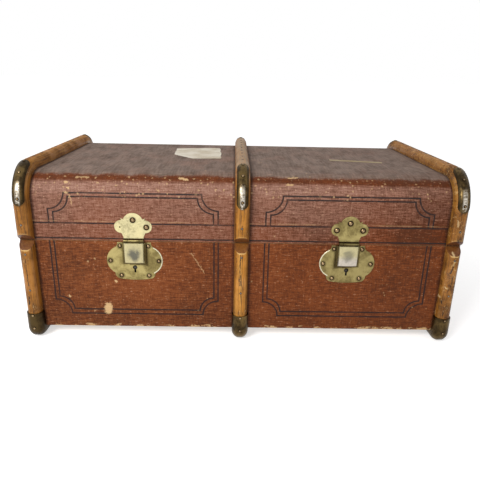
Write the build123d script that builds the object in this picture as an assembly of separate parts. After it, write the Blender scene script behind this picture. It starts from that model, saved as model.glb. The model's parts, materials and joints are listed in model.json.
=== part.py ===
from build123d import *
from math import atan2, cos, degrees, hypot, radians, sin
import os

# A canvas-covered travelling trunk with bentwood slats, two hasp locks and end handles.
# Millimetres. Origin on the floor under the middle of the trunk, +X along its length,
# the locks face -Y and +Z is up.

# Covered box
trunk_length = 843.0        # canvas to canvas, end to end
trunk_depth = 446.0         # canvas to canvas, front to back
base_height = 184.0         # canvas bottom to the seam
lid_height = 127.5          # seam to the canvas on top
seam_gap = 0.8              # open line between base and lid
lid_bend_radius = 50.0      # canvas radius along the top front and back edges
lid_stave_count = 3         # staves glued edge to edge round each of those bends
base_corner_radius = 4.0    # canvas radius along the bottom front and back edges
wall_thickness = 9.0        # plywood boards
canvas_thickness = 1.0
lining_thickness = 0.6
curve_relief = 0.5          # extra radius of a curved face that nests in another

# Bentwood slats
slat_side = 5.0             # straight flank of the half-round section
slat_crest_flat = 0.8       # how much of the round is planed off the crest
lid_slat_width = 28.5
lid_slat_height = 19.0
base_slat_width = 27.0
base_slat_height = 17.5
slat_facet_run = 14.5       # height of the oblique cut at the front seam
slat_seam_gap = 1.2         # lid slat end above the base slat end
back_facet_angle = 51.0     # each back cut, measured from level, clears the open lid

# Metal caps
cap_fit = 0.3
foot_cap_wall = 1.7
foot_cap_bulge = 2.8        # the cap's cheeks stand this far outside the slat
foot_cap_length = 36.0      # reach up the slat and along the runner
corner_cap_wall = 1.6
corner_cap_width = 22.0
corner_cap_drop = 6.0       # reach below the bend
corner_cap_angle = 77.0     # reach round the bend, in degrees

# Rim lip that guides the lid
lip_thickness = 6.0
lip_depth = 42.0            # below the seam
lip_rise = 12.0             # above the seam
lip_fit = 1.2
lip_chamfer = 2.0

# Lid hinges
hinge_spacing = 411.0       # between the two hinges
hinge_leaf_width = 62.0
hinge_leaf_height = 38.0
hinge_leaf_thickness = 1.5
hinge_knuckle_radius = 4.2
hinge_pin_radius = 2.0
hinge_knuckle_gap = 0.4     # end play between knuckles, and off the canvas
pin_fit = 0.1               # radial clearance of every turning pin

# Locks
lock_spacing = 411.0
plate_thickness = 1.2
lock_plate_top_drop = 1.7   # the lock plate's outline, its drops measured from the seam
lock_plate_shoulder = 32.4  # half width along the top edge
lock_plate_cusp = 38.0      # half width at the upper cusps
lock_plate_cusp_drop = 12.5
lock_plate_lobe = 53.8      # half width across the side lobes
lock_plate_heel = 39.0      # half width at the lower cusps
lock_plate_heel_drop = 64.5
lock_plate_foot = 32.0      # half width along the bottom edge
lock_plate_foot_drop = 76.5
lock_plate_drop = 79.5
lock_plate_scallop = 2.1    # hollow and swell of the short arcs
hasp_plate_rise = 56.3      # the hasp plate's outline, its rises measured from the seam
hasp_plate_crown = 17.5     # half width of the arched top
hasp_plate_crown_rise = 45.5
hasp_plate_thorn = 23.6     # half width at the tips of the upper thorns
hasp_plate_thorn_rise = 46.0
hasp_plate_shoulder = 21.0  # half width where the side lobes start
hasp_plate_shoulder_rise = 42.0
hasp_plate_lobe = 35.4      # half width across the side lobes
hasp_plate_waist = 22.5     # half width under the side lobes
hasp_plate_waist_rise = 17.0
hasp_plate_neck_rise = 9.0
hasp_plate_notch = 1.6      # depth of the nick beside each thorn
boss_height = 2.5           # pressed step that lifts the hasp clear of the plate
boss_half_width = 23.0
boss_length = 43.0          # from the plate's top edge down
hasp_axis_rise = 2.0        # hasp pin above the seam
hasp_axis_out = 3.9         # hasp pin in front of the canvas
hasp_knuckle_radius = 3.2
hasp_pin_radius = 1.5
hasp_knuckle_length = 22.0
hasp_fit = 0.4              # hasp off the boss, and end play at the knuckles
hasp_width = 38.0
hasp_top_drop = 4.6         # flap's top edge below the pin
hasp_length = 40.0
hasp_edge_thickness = 1.3
hasp_dome = 3.2
hasp_taper = 1.0            # each flank leans in by this much at the bottom
tab_width = 18.0
tab_length = 4.5
staple_drop = 36.0          # staple below the hasp pin
staple_width = 2.5
staple_length = 6.0
staple_eye_radius = 1.7
staple_channel = 7.0        # slot that lets the staple out and up
staple_slot_drop = 5.5      # slot bottom below the staple's middle
case_width = 46.0
case_height = 70.0
case_depth = 6.2
case_wall = 1.2
case_fit = 0.3
case_top_drop = 4.0         # case top below the seam
bolt_travel = 4.5
bolt_nose_radius = 1.3
bolt_body_width = 12.0
bolt_body_height = 24.0
bolt_standoff = 0.95        # nose tip off the staple when drawn back
keyhole_drop = 53.0         # keyhole below the seam
keyhole_radius = 4.3
keyhole_slot_width = 3.4
keyhole_slot_length = 11.0
key_post_radius = 2.4

# End handles
handle_pivot_height = 150.0
handle_pivot_out = 12.0
handle_span = 140.0         # between the two loops
handle_hang = 38.0          # pivot down to the grip's middle
handle_bend_radius = 16.0
grip_length = 98.0
grip_middle_radius = 10.5
grip_end_radius = 7.5
loop_width = 16.0
loop_radius = 7.5
strap_thickness = 8.0
strap_bevel = 2.0
bracket_pin_radius = 3.0
bracket_plate_height = 44.0
bracket_plate_thickness = 1.6
lug_thickness = 3.0
lug_radius = 6.0
loop_end_play = 0.5

# Lid stays, two bars each side that fold as a rhombus with the lid hinge
stay_reach = 110.0          # pivots in front of the hinge pin
stay_drop = 24.0            # base pivot below and lid pivot above the hinge pin
stay_bar_width = 12.0
stay_bar_thickness = 2.0
stay_stud_radius = 2.5
stay_head_radius = 4.5
stay_head_thickness = 1.2
stay_gap = 0.3              # between plates, bars and heads
elbow_fit = 0.3
stay_plate_thickness = 1.5
stay_plate_length = 34.0
stay_plate_height = 22.0
stay_boss_radius = 6.0

# Levels and planes that follow
canvas_bottom = base_slat_height + cap_fit + foot_cap_wall
seam = canvas_bottom + base_height
lid_bottom = seam + seam_gap
lid_top = seam + lid_height
bend_level = lid_top - lid_bend_radius
half_length = trunk_length / 2
half_depth = trunk_depth / 2
board_inset = canvas_thickness
lining_inset = canvas_thickness + wall_thickness
inner_inset = lining_inset + lining_thickness
hinge_y = half_depth + hinge_knuckle_radius + hinge_knuckle_gap
hinge_z = seam + seam_gap / 2
slat_places = {
    "left": lid_slat_width / 2 - half_length,
    "middle": 0.0,
    "right": half_length - lid_slat_width / 2,
}
sides = {"left": -1, "right": 1}
beyond = 60.0               # cutters run this far past what they cut


def block(x_low, x_high, y_low, y_high, z_low, z_high):
    middle = Pos((x_low + x_high) / 2, (y_low + y_high) / 2, (z_low + z_high) / 2)
    return middle * Box(x_high - x_low, y_high - y_low, z_high - z_low)


def along_x(face, x_low, x_high):
    return Pos(x_low, 0, 0) * extrude(Plane.YZ * face, amount=x_high - x_low)


def polygon(*points):
    return make_face(Polyline(*points, close=True))


def x_cylinder(radius, x_low, x_high, y, z):
    turned = Rot(0, 90, 0) * Cylinder(radius, x_high - x_low)
    return Pos((x_low + x_high) / 2, y, z) * turned


def y_cylinder(radius, y_low, y_high, x, z):
    turned = Rot(90, 0, 0) * Cylinder(radius, y_high - y_low)
    return Pos(x, (y_low + y_high) / 2, z) * turned


def flip_y(shape):
    return mirror(shape, about=Plane.XZ)


def on_side(shape, side):
    return shape if side > 0 else mirror(shape, about=Plane.YZ)


# Boards, canvas and lining of the base

def base_room(inset, low_corner_radius, z_high):
    z_low = canvas_bottom + inset
    face = Pos(0, (z_low + z_high) / 2) * Rectangle(trunk_depth - 2 * inset, z_high - z_low)
    if low_corner_radius > 0:
        face = fillet(face.vertices().group_by(Axis.Y)[0], low_corner_radius)
    return along_x(face, inset - half_length, half_length - inset)


def base_boards():
    whole = base_room(board_inset, base_corner_radius - canvas_thickness + curve_relief, seam)
    y_in = half_depth - lining_inset
    x_in = half_length - lining_inset
    floor_top = canvas_bottom + lining_inset
    front = whole & block(-half_length, half_length, -half_depth, -y_in, 0, seam)
    end = block(x_in, x_in + wall_thickness, -y_in, y_in, canvas_bottom + board_inset, seam)
    bottom = block(-x_in, x_in, -y_in, y_in, canvas_bottom + board_inset, floor_top)
    return {
        "base_front_board": front - lock_recesses(),
        "base_back_board": flip_y(front),
        "base_left_board": on_side(end, -1),
        "base_right_board": end,
        "base_bottom_board": bottom,
    }


def base_canvas():
    outside = base_room(0, base_corner_radius, seam)
    inside = base_room(canvas_thickness, base_corner_radius - canvas_thickness, seam + beyond)
    return outside - inside - lock_recesses()


def base_lining():
    return base_room(lining_inset, 0, seam) - base_room(inner_inset, 0, seam + beyond)


def rim_lip_profile(inner_face):
    outer = inner_face + lip_thickness
    above = outer - lip_fit
    low = seam - lip_depth
    high = seam + lip_rise
    return polygon(
        (inner_face, low), (outer, low), (outer, seam), (above, seam),
        (above, high - lip_chamfer), (above - lip_chamfer, high), (inner_face, high),
    )


def rim_lips():
    x_in = half_length - inner_inset
    y_in = half_depth - inner_inset
    front = flip_y(along_x(rim_lip_profile(y_in - lip_thickness), -x_in, x_in))
    front &= block(-x_in + lip_fit, x_in - lip_fit, -half_depth, 0, seam, lid_top) + block(
        -x_in, x_in, -half_depth, 0, 0, seam)
    end_profile = Plane.XZ * rim_lip_profile(x_in - lip_thickness)
    end = Pos(0, y_in, 0) * extrude(end_profile, amount=2 * y_in - lip_thickness)
    end &= block(0, x_in, -half_depth, y_in - lip_fit, seam, lid_top) + block(
        0, x_in, -half_depth, y_in, 0, seam)
    return {"rim_lip_front": front, "rim_lip_ends": [end, on_side(end, -1)]}


# Boards, canvas and lining of the lid

def lid_room(inset, radius, z_low):
    high = lid_top - inset
    face = Pos(0, (z_low + high) / 2) * Rectangle(trunk_depth - 2 * inset, high - z_low)
    return fillet(face.vertices().group_by(Axis.Y)[-1], radius)


def lid_stave_zone(number):
    # the wedge of one front bend that the stave of this number fills, from the wall up
    bend_y = lid_bend_radius - half_depth
    reach = 1.5 * lid_bend_radius
    turns = [radians(90.0 * edge / lid_stave_count) for edge in (number, number + 1)]
    rim = [(bend_y - reach * cos(turn), bend_level + reach * sin(turn)) for turn in turns]
    return along_x(polygon((bend_y, bend_level), *rim), -half_length, half_length)


def lid_boards():
    outer_radius = lid_bend_radius - canvas_thickness + curve_relief
    inner_radius = lid_bend_radius - lining_inset
    x_out = half_length - board_inset
    x_in = half_length - lining_inset
    y_out = half_depth - board_inset
    y_in = half_depth - lining_inset
    shell = along_x(lid_room(board_inset, outer_radius, lid_bottom), -x_out, x_out)
    shell -= along_x(lid_room(lining_inset, inner_radius, lid_bottom - beyond), -x_out, x_out)
    panel_y = half_depth - lid_bend_radius
    panel = shell & block(-x_out, x_out, -panel_y, panel_y, bend_level, lid_top)
    staves = [shell & lid_stave_zone(number) for number in range(lid_stave_count)]
    front = shell & block(-x_out, x_out, -y_out, -y_in, lid_bottom, bend_level)
    end_face = lid_room(lining_inset, inner_radius + curve_relief, lid_bottom)
    end = along_x(end_face, x_in, x_out)
    return {
        "lid_top_board": [panel, *staves, *[flip_y(stave) for stave in staves]],
        "lid_front_board": front,
        "lid_back_board": flip_y(front),
        "lid_left_board": on_side(end, -1),
        "lid_right_board": end,
    }


def lid_canvas():
    outside = along_x(lid_room(0, lid_bend_radius, lid_bottom), -half_length, half_length)
    x_in = half_length - canvas_thickness
    inner_radius = lid_bend_radius - canvas_thickness
    inside = along_x(lid_room(canvas_thickness, inner_radius, lid_bottom - beyond), -x_in, x_in)
    return outside - inside


def lid_lining():
    x_out = half_length - lining_inset
    x_in = half_length - inner_inset
    radius = lid_bend_radius - lining_inset + curve_relief
    outside = along_x(lid_room(lining_inset, radius, lid_bottom), -x_out, x_out)
    inner_room = lid_room(inner_inset, radius - lining_thickness, lid_bottom - beyond)
    return outside - along_x(inner_room, -x_in, x_in)


# Half-round slats, bent over the lid and mitred under the base

def slat_section(width, height, side):
    crest = height + slat_crest_flat
    arc = ThreePointArc((-width / 2, side), (0, crest), (width / 2, side))
    rest = Polyline((width / 2, side), (width / 2, 0), (-width / 2, 0), (-width / 2, side))
    return make_face(arc + rest) & Pos(0, height / 2) * Rectangle(width, height)


def lid_path(z_low):
    return FilletPolyline(
        (0, -half_depth, z_low), (0, -half_depth, lid_top),
        (0, half_depth, lid_top), (0, half_depth, z_low), radius=lid_bend_radius)


def base_path():
    return FilletPolyline(
        (0, -half_depth, seam), (0, -half_depth, canvas_bottom),
        (0, half_depth, canvas_bottom), (0, half_depth, seam), radius=base_corner_radius)


def sweep_over_lid(section, z_low):
    start = Plane(origin=(0, -half_depth, z_low), x_dir=(-1, 0, 0), z_dir=(0, 0, 1))
    return sweep(start * section, path=lid_path(z_low))


def sweep_under_base(section):
    start = Plane(origin=(0, -half_depth, seam), x_dir=(1, 0, 0), z_dir=(0, 0, -1))
    return sweep(start * section, path=base_path())


def front_notch(z_surface, z_crest, height, z_end):
    near = -half_depth + 1
    slope = (z_crest - z_surface) / height
    far = -half_depth - beyond
    return along_x(polygon(
        (near, z_surface), (-half_depth, z_surface), (far, z_surface + slope * beyond),
        (far, z_end), (near, z_end)), -lid_slat_width, lid_slat_width)


def back_notch(direction):
    z_near = hinge_z + direction * slat_seam_gap / 2
    z_far = z_near + direction * beyond * sin(radians(back_facet_angle))
    y_far = hinge_y + beyond * cos(radians(back_facet_angle))
    z_end = hinge_z - direction * slat_seam_gap
    return along_x(polygon(
        (half_depth - 1, z_near), (hinge_y, z_near), (y_far, z_far),
        (y_far, z_end), (half_depth - 1, z_end)), -lid_slat_width, lid_slat_width)


def lid_slat():
    z_low = seam + slat_seam_gap
    slat = sweep_over_lid(slat_section(lid_slat_width, lid_slat_height, slat_side), z_low)
    slat -= front_notch(z_low, z_low + slat_facet_run, lid_slat_height, z_low - 1)
    return slat - back_notch(1)


def base_zones():
    corner_y = half_depth - base_corner_radius
    corner_z = canvas_bottom + base_corner_radius
    far_y = corner_y + beyond
    far_z = corner_z - beyond
    high = seam + 1
    front = polygon((-corner_y, corner_z), (-far_y, far_z), (-far_y, high), (-corner_y, high))
    under = polygon((-corner_y, corner_z), (-far_y, far_z), (far_y, far_z), (corner_y, corner_z))
    width = lid_slat_width
    front_zone = along_x(front, -width, width)
    return front_zone, along_x(under, -width, width), flip_y(front_zone)


def base_slat_pieces():
    hoop = sweep_under_base(slat_section(base_slat_width, base_slat_height, slat_side))
    front_zone, under_zone, back_zone = base_zones()
    front = (hoop & front_zone) - front_notch(
        seam, seam - slat_facet_run, base_slat_height, seam + 1)
    back = (hoop & back_zone) - back_notch(-1)
    return front, hoop & under_zone, back


# Metal caps on the slats

def foot_cap():
    height = base_slat_height + cap_fit
    inner = slat_section(base_slat_width + 2 * cap_fit, height, slat_side)
    outer = slat_section(base_slat_width + 2 * foot_cap_bulge, height + foot_cap_wall, slat_side)
    shell = sweep_under_base(outer) - sweep_under_base(inner)
    reach = block(
        -base_slat_width, base_slat_width, -half_depth - beyond,
        foot_cap_length - half_depth, 0, canvas_bottom + foot_cap_length)
    return shell & reach


def corner_cap_section():
    half = lid_slat_width / 2
    rise = lid_slat_height + slat_crest_flat - slat_side
    crown = (half * half + rise * rise) / (2 * rise)
    centre = Pos(0, lid_slat_height + slat_crest_flat - crown)
    ring = Circle(crown + cap_fit + corner_cap_wall) - Circle(crown + cap_fit)
    window = Pos(0, crown) * Rectangle(corner_cap_width, 2 * crown)
    return centre * (ring & window)


def corner_cap():
    centre_y = lid_bend_radius - half_depth
    crest_radius = lid_bend_radius + lid_slat_height
    outer_radius = crest_radius + slat_crest_flat + cap_fit + corner_cap_wall
    radius = corner_cap_width / 2
    start = Plane(origin=(0, -half_depth, bend_level), x_dir=(-1, 0, 0), z_dir=(0, 0, 1))
    section = start * corner_cap_section()
    bend_axis = Axis((0, centre_y, bend_level), (-1, 0, 0))
    cap = revolve(section, axis=bend_axis, revolution_arc=corner_cap_angle)
    cap += extrude(section, amount=-corner_cap_drop)

    # Both ends are half-rounds as wide as the cap, seen square to the slat
    drop_end = bend_level - corner_cap_drop + radius
    front_end = Plane(origin=(0, centre_y, drop_end), x_dir=(1, 0, 0), z_dir=(0, -1, 0))
    end_angle = radians(corner_cap_angle) - radius / crest_radius
    top_end = Plane(origin=(0, centre_y, bend_level), x_dir=(1, 0, 0),
                    z_dir=(0, -cos(end_angle), sin(end_angle)))
    corner = Rectangle(2 * radius, 2 * radius)
    for plane, ahead in ((front_end, -1), (top_end, 1)):
        spare = Pos(0, ahead * radius) * corner - Circle(radius)
        cap -= extrude(plane * spare, amount=outer_radius + 1)
    return cap


# Butt hinges across the back seam

def hinge_bounds():
    third = hinge_leaf_width / 3
    return -third / 2, third / 2, hinge_leaf_width / 2


def leaf_outline(direction):
    middle_low, middle_high, half = hinge_bounds()
    clear = hinge_knuckle_radius + hinge_knuckle_gap
    low = min(direction * hinge_leaf_height, 0)
    high = max(direction * hinge_leaf_height, 0)
    leaf = block(-half, half, half_depth, half_depth + hinge_leaf_thickness,
                 hinge_z + low, hinge_z + high)
    wide = (-half - 1, half + 1) if direction > 0 else (middle_low, middle_high)
    gap = block(wide[0] - hinge_knuckle_gap, wide[1] + hinge_knuckle_gap, half_depth - 1,
                hinge_y + clear, hinge_z - clear, hinge_z + clear)
    return leaf - gap


def base_hinge_leaf():
    middle_low, middle_high, half = hinge_bounds()
    leaf = leaf_outline(-1)
    for x_low, x_high in ((-half, middle_low - hinge_knuckle_gap),
                          (middle_high + hinge_knuckle_gap, half)):
        leaf += x_cylinder(hinge_knuckle_radius, x_low, x_high, hinge_y, hinge_z)
    return leaf - x_cylinder(hinge_pin_radius + pin_fit, -half, half, hinge_y, hinge_z)


def lid_hinge_leaf():
    middle_low, middle_high, half = hinge_bounds()
    leaf = leaf_outline(1)
    leaf += block(middle_low, middle_high, half_depth, half_depth + hinge_leaf_thickness,
                  hinge_z + seam_gap, hinge_z + hinge_leaf_height / 2)
    leaf += x_cylinder(hinge_knuckle_radius, middle_low, middle_high, hinge_y, hinge_z)
    return leaf - x_cylinder(hinge_pin_radius + pin_fit, -half, half, hinge_y, hinge_z)


def hinge_pin():
    half = hinge_leaf_width / 2
    return x_cylinder(hinge_pin_radius, -half, half, hinge_y, hinge_z)


# Locks: a plate and case on the base, a hinged hasp on the lid

hasp_y = -half_depth - hasp_axis_out
hasp_z = seam + hasp_axis_rise
plate_top = seam - lock_plate_top_drop
keyhole_z = seam - keyhole_drop
staple_z = hasp_z - staple_drop
case_top = seam - case_top_drop
case_back = case_depth - half_depth
boss_front = -half_depth - plate_thickness - boss_height
bolt_y = -half_depth + (case_depth - case_wall) / 2


def staple_way(y_high):
    half = staple_channel / 2
    return block(-half, half, boss_front - 1, y_high, staple_z - staple_slot_drop, seam + 1)


def lock_recesses():
    half = case_width / 2 + case_fit
    pocket = block(-half, half, -half_depth - 1, case_back + case_fit,
                   case_top - case_height - case_fit, case_top + case_fit)
    recess = pocket + staple_way(case_back)
    return Pos(-lock_spacing / 2, 0, 0) * recess + Pos(lock_spacing / 2, 0, 0) * recess


def lock_plate_face():
    shoulder = (lock_plate_shoulder, plate_top)
    cusp = (lock_plate_cusp, seam - lock_plate_cusp_drop)
    lobe = (lock_plate_lobe, seam - (lock_plate_cusp_drop + lock_plate_heel_drop) / 2)
    heel = (lock_plate_heel, seam - lock_plate_heel_drop)
    foot = (lock_plate_foot, seam - lock_plate_foot_drop)
    right = (
        Line((0, plate_top), shoulder)
        + SagittaArc(shoulder, cusp, -lock_plate_scallop)
        + ThreePointArc(cusp, lobe, heel)
        + SagittaArc(heel, foot, lock_plate_scallop)
    )
    left = mirror(right, about=Plane.YZ)
    sole = ThreePointArc(foot, (0, seam - lock_plate_drop), (-foot[0], foot[1]))
    return make_face(right + left + sole)


def lock_plate():
    plate = extrude(Plane.XZ * lock_plate_face(), amount=plate_thickness)
    rim = plate.faces().sort_by(Axis.Y)[0].edges()
    plate = Pos(0, -half_depth, 0) * chamfer(rim, plate_thickness / 3)
    low = plate_top - boss_length
    face = -half_depth - plate_thickness
    boss = block(-boss_half_width, boss_half_width, boss_front, face, low, plate_top)
    boss = chamfer(boss.faces().sort_by(Axis.Y)[0].edges(), boss_height / 3)
    wall = plate_thickness
    hollow = block(wall - boss_half_width, boss_half_width - wall, boss_front + wall,
                   -half_depth, low + wall, plate_top - wall)
    keyhole = y_cylinder(keyhole_radius, -half_depth - beyond, -half_depth, 0, keyhole_z)
    keyhole += block(-keyhole_slot_width / 2, keyhole_slot_width / 2, -half_depth - beyond,
                     -half_depth, keyhole_z - keyhole_slot_length, keyhole_z)
    return plate + boss - hollow - staple_way(0) - keyhole


def lock_case():
    half = case_width / 2
    low = case_top - case_height
    case = block(-half, half, -half_depth, case_back, low, case_top)
    case -= block(case_wall - half, half - case_wall, -half_depth - 1, case_back - case_wall,
                  low + case_wall, case_top - case_wall)
    case -= staple_way(case_back - case_wall)
    post = y_cylinder(key_post_radius, -half_depth - plate_thickness, case_back - case_wall / 2,
                      0, keyhole_z)
    return case + post


def lock_bolt():
    x_tip = staple_width / 2 + bolt_standoff
    x_body = staple_channel / 2 + bolt_travel + stay_gap
    y_low = -half_depth + stay_gap
    y_high = case_back - case_wall - stay_gap
    z_high = staple_z + 2 * bolt_nose_radius
    z_low = z_high - bolt_body_height
    body = block(x_body, x_body + bolt_body_width, y_low, y_high, z_low, z_high)
    talon = bolt_body_width / 3
    body -= block(x_body + talon, x_body + 2 * talon, y_low - 1, y_high + 1,
                  z_low - 1, z_low + talon)
    return body + x_cylinder(bolt_nose_radius, x_tip, x_body + 1, bolt_y, staple_z)


def hasp_plate_face():
    top = (0, seam + hasp_plate_rise)
    crown = (hasp_plate_crown, seam + hasp_plate_crown_rise)
    nick = (hasp_plate_crown, seam + hasp_plate_crown_rise - hasp_plate_notch)
    thorn = (hasp_plate_thorn, seam + hasp_plate_thorn_rise)
    shoulder = (hasp_plate_shoulder, seam + hasp_plate_shoulder_rise)
    lobe = (hasp_plate_lobe, seam + (hasp_plate_shoulder_rise + hasp_plate_waist_rise) / 2)
    waist = (hasp_plate_waist, seam + hasp_plate_waist_rise)
    neck = (hasp_width / 2, seam + hasp_plate_neck_rise)
    arch_height = hasp_plate_rise - hasp_plate_crown_rise
    arch_radius = (hasp_plate_crown ** 2 + arch_height ** 2) / (2 * arch_height)
    right = (
        RadiusArc(crown, top, -arch_radius)
        + Polyline(crown, nick, thorn, shoulder)
        + ThreePointArc(shoulder, lobe, waist)
        + Polyline(waist, neck, (hasp_width / 2, hasp_z), (0, hasp_z))
    )
    left = mirror(right, about=Plane.YZ)
    return make_face(right + left)


def hasp_plate():
    plate = Pos(0, -half_depth, 0) * extrude(Plane.XZ * hasp_plate_face(), amount=plate_thickness)
    half = hasp_width / 2
    inner = hasp_knuckle_length / 2
    clear = hasp_knuckle_radius + hasp_fit
    plate -= block(-inner - hasp_fit, inner + hasp_fit, hasp_y - clear, -half_depth + 1,
                   hasp_z - clear, hasp_z + clear)
    for x_low, x_high in ((-half, -inner - hasp_fit), (inner + hasp_fit, half)):
        plate += x_cylinder(hasp_knuckle_radius, x_low, x_high, hasp_y, hasp_z)
    return plate - x_cylinder(hasp_pin_radius + pin_fit, -half, half, hasp_y, hasp_z)


def hasp():
    half = hasp_width / 2
    foot = half - hasp_taper
    z_high = hasp_z - hasp_top_drop
    z_low = z_high - hasp_length
    back = boss_front - hasp_fit
    thickness = hasp_edge_thickness + hasp_dome
    outline = polygon((-half, z_high), (half, z_high), (foot, z_low), (-foot, z_low))
    flap = Pos(0, back, 0) * extrude(Plane.XZ * outline, amount=thickness)
    corner = hypot(half, hasp_length / 2)
    ball = (corner * corner + hasp_dome * hasp_dome) / (2 * hasp_dome)
    flap &= Pos(0, back - thickness + ball, (z_low + z_high) / 2) * Sphere(ball)
    flap += block(-tab_width / 2, tab_width / 2, back - hasp_edge_thickness, back,
                  z_low - tab_length, z_low + 1)
    inner = hasp_knuckle_length / 2
    flap += block(-inner, inner, back - hasp_edge_thickness, back, z_high - 1, hasp_z)
    flap += x_cylinder(hasp_knuckle_radius, -inner, inner, hasp_y, hasp_z)
    tip = case_back - case_wall - hasp_fit
    staple = block(-staple_width / 2, staple_width / 2, back - 1, tip,
                   staple_z - staple_length / 2, staple_z + staple_length / 2)
    flap += staple - x_cylinder(staple_eye_radius, -staple_width, staple_width, bolt_y, staple_z)
    return flap - x_cylinder(hasp_pin_radius + pin_fit, -half, half, hasp_y, hasp_z)


def hasp_pin():
    half = hasp_width / 2
    return x_cylinder(hasp_pin_radius, -half, half, hasp_y, hasp_z)


# Leather handles on the ends

pivot_x = half_length + handle_pivot_out


def handle_bracket():
    y = handle_span / 2
    width = loop_width + 2 * loop_end_play + 2 * lug_thickness
    flat = RectangleRounded(width, bracket_plate_height, width / 3)
    seat = Plane(origin=(half_length, y, handle_pivot_height), x_dir=(0, 1, 0), z_dir=(1, 0, 0))
    bracket = extrude(seat * flat, amount=bracket_plate_thickness)
    for side in (-1, 1):
        y_in = y + side * (loop_width / 2 + loop_end_play)
        y_out = y_in + side * lug_thickness
        y_low, y_high = min(y_in, y_out), max(y_in, y_out)
        bracket += block(half_length, pivot_x, y_low, y_high,
                         handle_pivot_height - lug_radius, handle_pivot_height + lug_radius)
        bracket += y_cylinder(lug_radius, y_low, y_high, pivot_x, handle_pivot_height)
    reach = width / 2
    return bracket + y_cylinder(
        bracket_pin_radius, y - reach, y + reach, pivot_x, handle_pivot_height)


def handle():
    half = handle_span / 2
    low = handle_pivot_height - handle_hang
    path = FilletPolyline(
        (pivot_x, -half, handle_pivot_height - bracket_pin_radius - 1), (pivot_x, -half, low),
        (pivot_x, half, low), (pivot_x, half, handle_pivot_height - bracket_pin_radius - 1),
        radius=handle_bend_radius)
    start = Plane(origin=path @ 0, x_dir=(0, 1, 0), z_dir=(0, 0, -1))
    strap = Rectangle(loop_width, strap_thickness)
    strap = chamfer(strap.vertices(), strap_bevel)
    leather = sweep(start * strap, path=path)
    crown = ThreePointArc(
        (-grip_length / 2, grip_end_radius), (0, grip_middle_radius),
        (grip_length / 2, grip_end_radius))
    closing = Polyline(
        (grip_length / 2, grip_end_radius), (grip_length / 2, 0),
        (-grip_length / 2, 0), (-grip_length / 2, grip_end_radius))
    barrel = revolve(make_face(crown + closing), axis=Axis.X)
    leather += Pos(pivot_x, 0, low) * Rot(0, 0, 90) * barrel
    for side in (-1, 1):
        y = side * half
        leather += y_cylinder(loop_radius, y - loop_width / 2, y + loop_width / 2,
                              pivot_x, handle_pivot_height)
    bore = bracket_pin_radius + pin_fit
    return leather - y_cylinder(bore, -trunk_depth / 2, trunk_depth / 2,
                                pivot_x, handle_pivot_height)


# Folding stays inside the ends

stay_y = hinge_y - stay_reach
base_pivot_z = hinge_z - stay_drop
lid_pivot_z = hinge_z + stay_drop
elbow_y = hinge_y - 2 * stay_reach
lip_face = half_length - inner_inset - lip_thickness
lower_bar_out = lip_face - stay_plate_thickness - stay_gap
lower_bar_in = lower_bar_out - stay_bar_thickness
upper_bar_out = lower_bar_in - stay_gap
upper_bar_in = upper_bar_out - stay_bar_thickness


def stay_plate(x_low, x_high, z):
    return block(x_low, x_high, stay_y - stay_plate_length / 2, stay_y + stay_plate_length / 2,
                 z - stay_plate_height / 2, z + stay_plate_height / 2)


def stay_head(x_face, y, z):
    return x_cylinder(stay_head_radius, x_face - stay_head_thickness, x_face, y, z)


def stay_base_plate():
    plate = stay_plate(lip_face - stay_plate_thickness, lip_face, base_pivot_z)
    head_face = lower_bar_in - stay_gap
    plate += x_cylinder(stay_stud_radius, head_face, lip_face, stay_y, base_pivot_z)
    return plate + stay_head(head_face, stay_y, base_pivot_z)


def stay_lid_plate():
    lining_face = half_length - inner_inset
    plate = stay_plate(lining_face - stay_plate_thickness, lining_face, lid_pivot_z)
    plate += x_cylinder(stay_boss_radius, upper_bar_out + stay_gap, lining_face,
                        stay_y, lid_pivot_z)
    head_face = upper_bar_in - stay_gap
    plate += x_cylinder(stay_stud_radius, head_face, lining_face, stay_y, lid_pivot_z)
    return plate + stay_head(head_face, stay_y, lid_pivot_z)


def stay_bar(x_low, x_high, z_start, hole_radius):
    length = hypot(stay_reach, stay_drop)
    bar = SlotCenterToCenter(length, stay_bar_width)
    bar -= Pos(-length / 2, 0) * Circle(stay_stud_radius + pin_fit)
    if hole_radius > 0:
        bar -= Pos(length / 2, 0) * Circle(hole_radius)
    tilt = degrees(atan2(hinge_z - z_start, elbow_y - stay_y))
    place = Plane.YZ * Pos((stay_y + elbow_y) / 2, (z_start + hinge_z) / 2) * Rot(0, 0, tilt)
    return Pos(x_low, 0, 0) * extrude(place * bar, amount=x_high - x_low)


def stay_lower_bar():
    bar = stay_bar(lower_bar_in, lower_bar_out, base_pivot_z, 0)
    head_face = upper_bar_in - stay_gap
    bar += x_cylinder(stay_stud_radius, head_face, lower_bar_out, elbow_y, hinge_z)
    return bar + stay_head(head_face, elbow_y, hinge_z)


def stay_upper_bar():
    return stay_bar(upper_bar_in, upper_bar_out, lid_pivot_z, stay_stud_radius + elbow_fit)


# The whole trunk, one entry for each node

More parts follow.
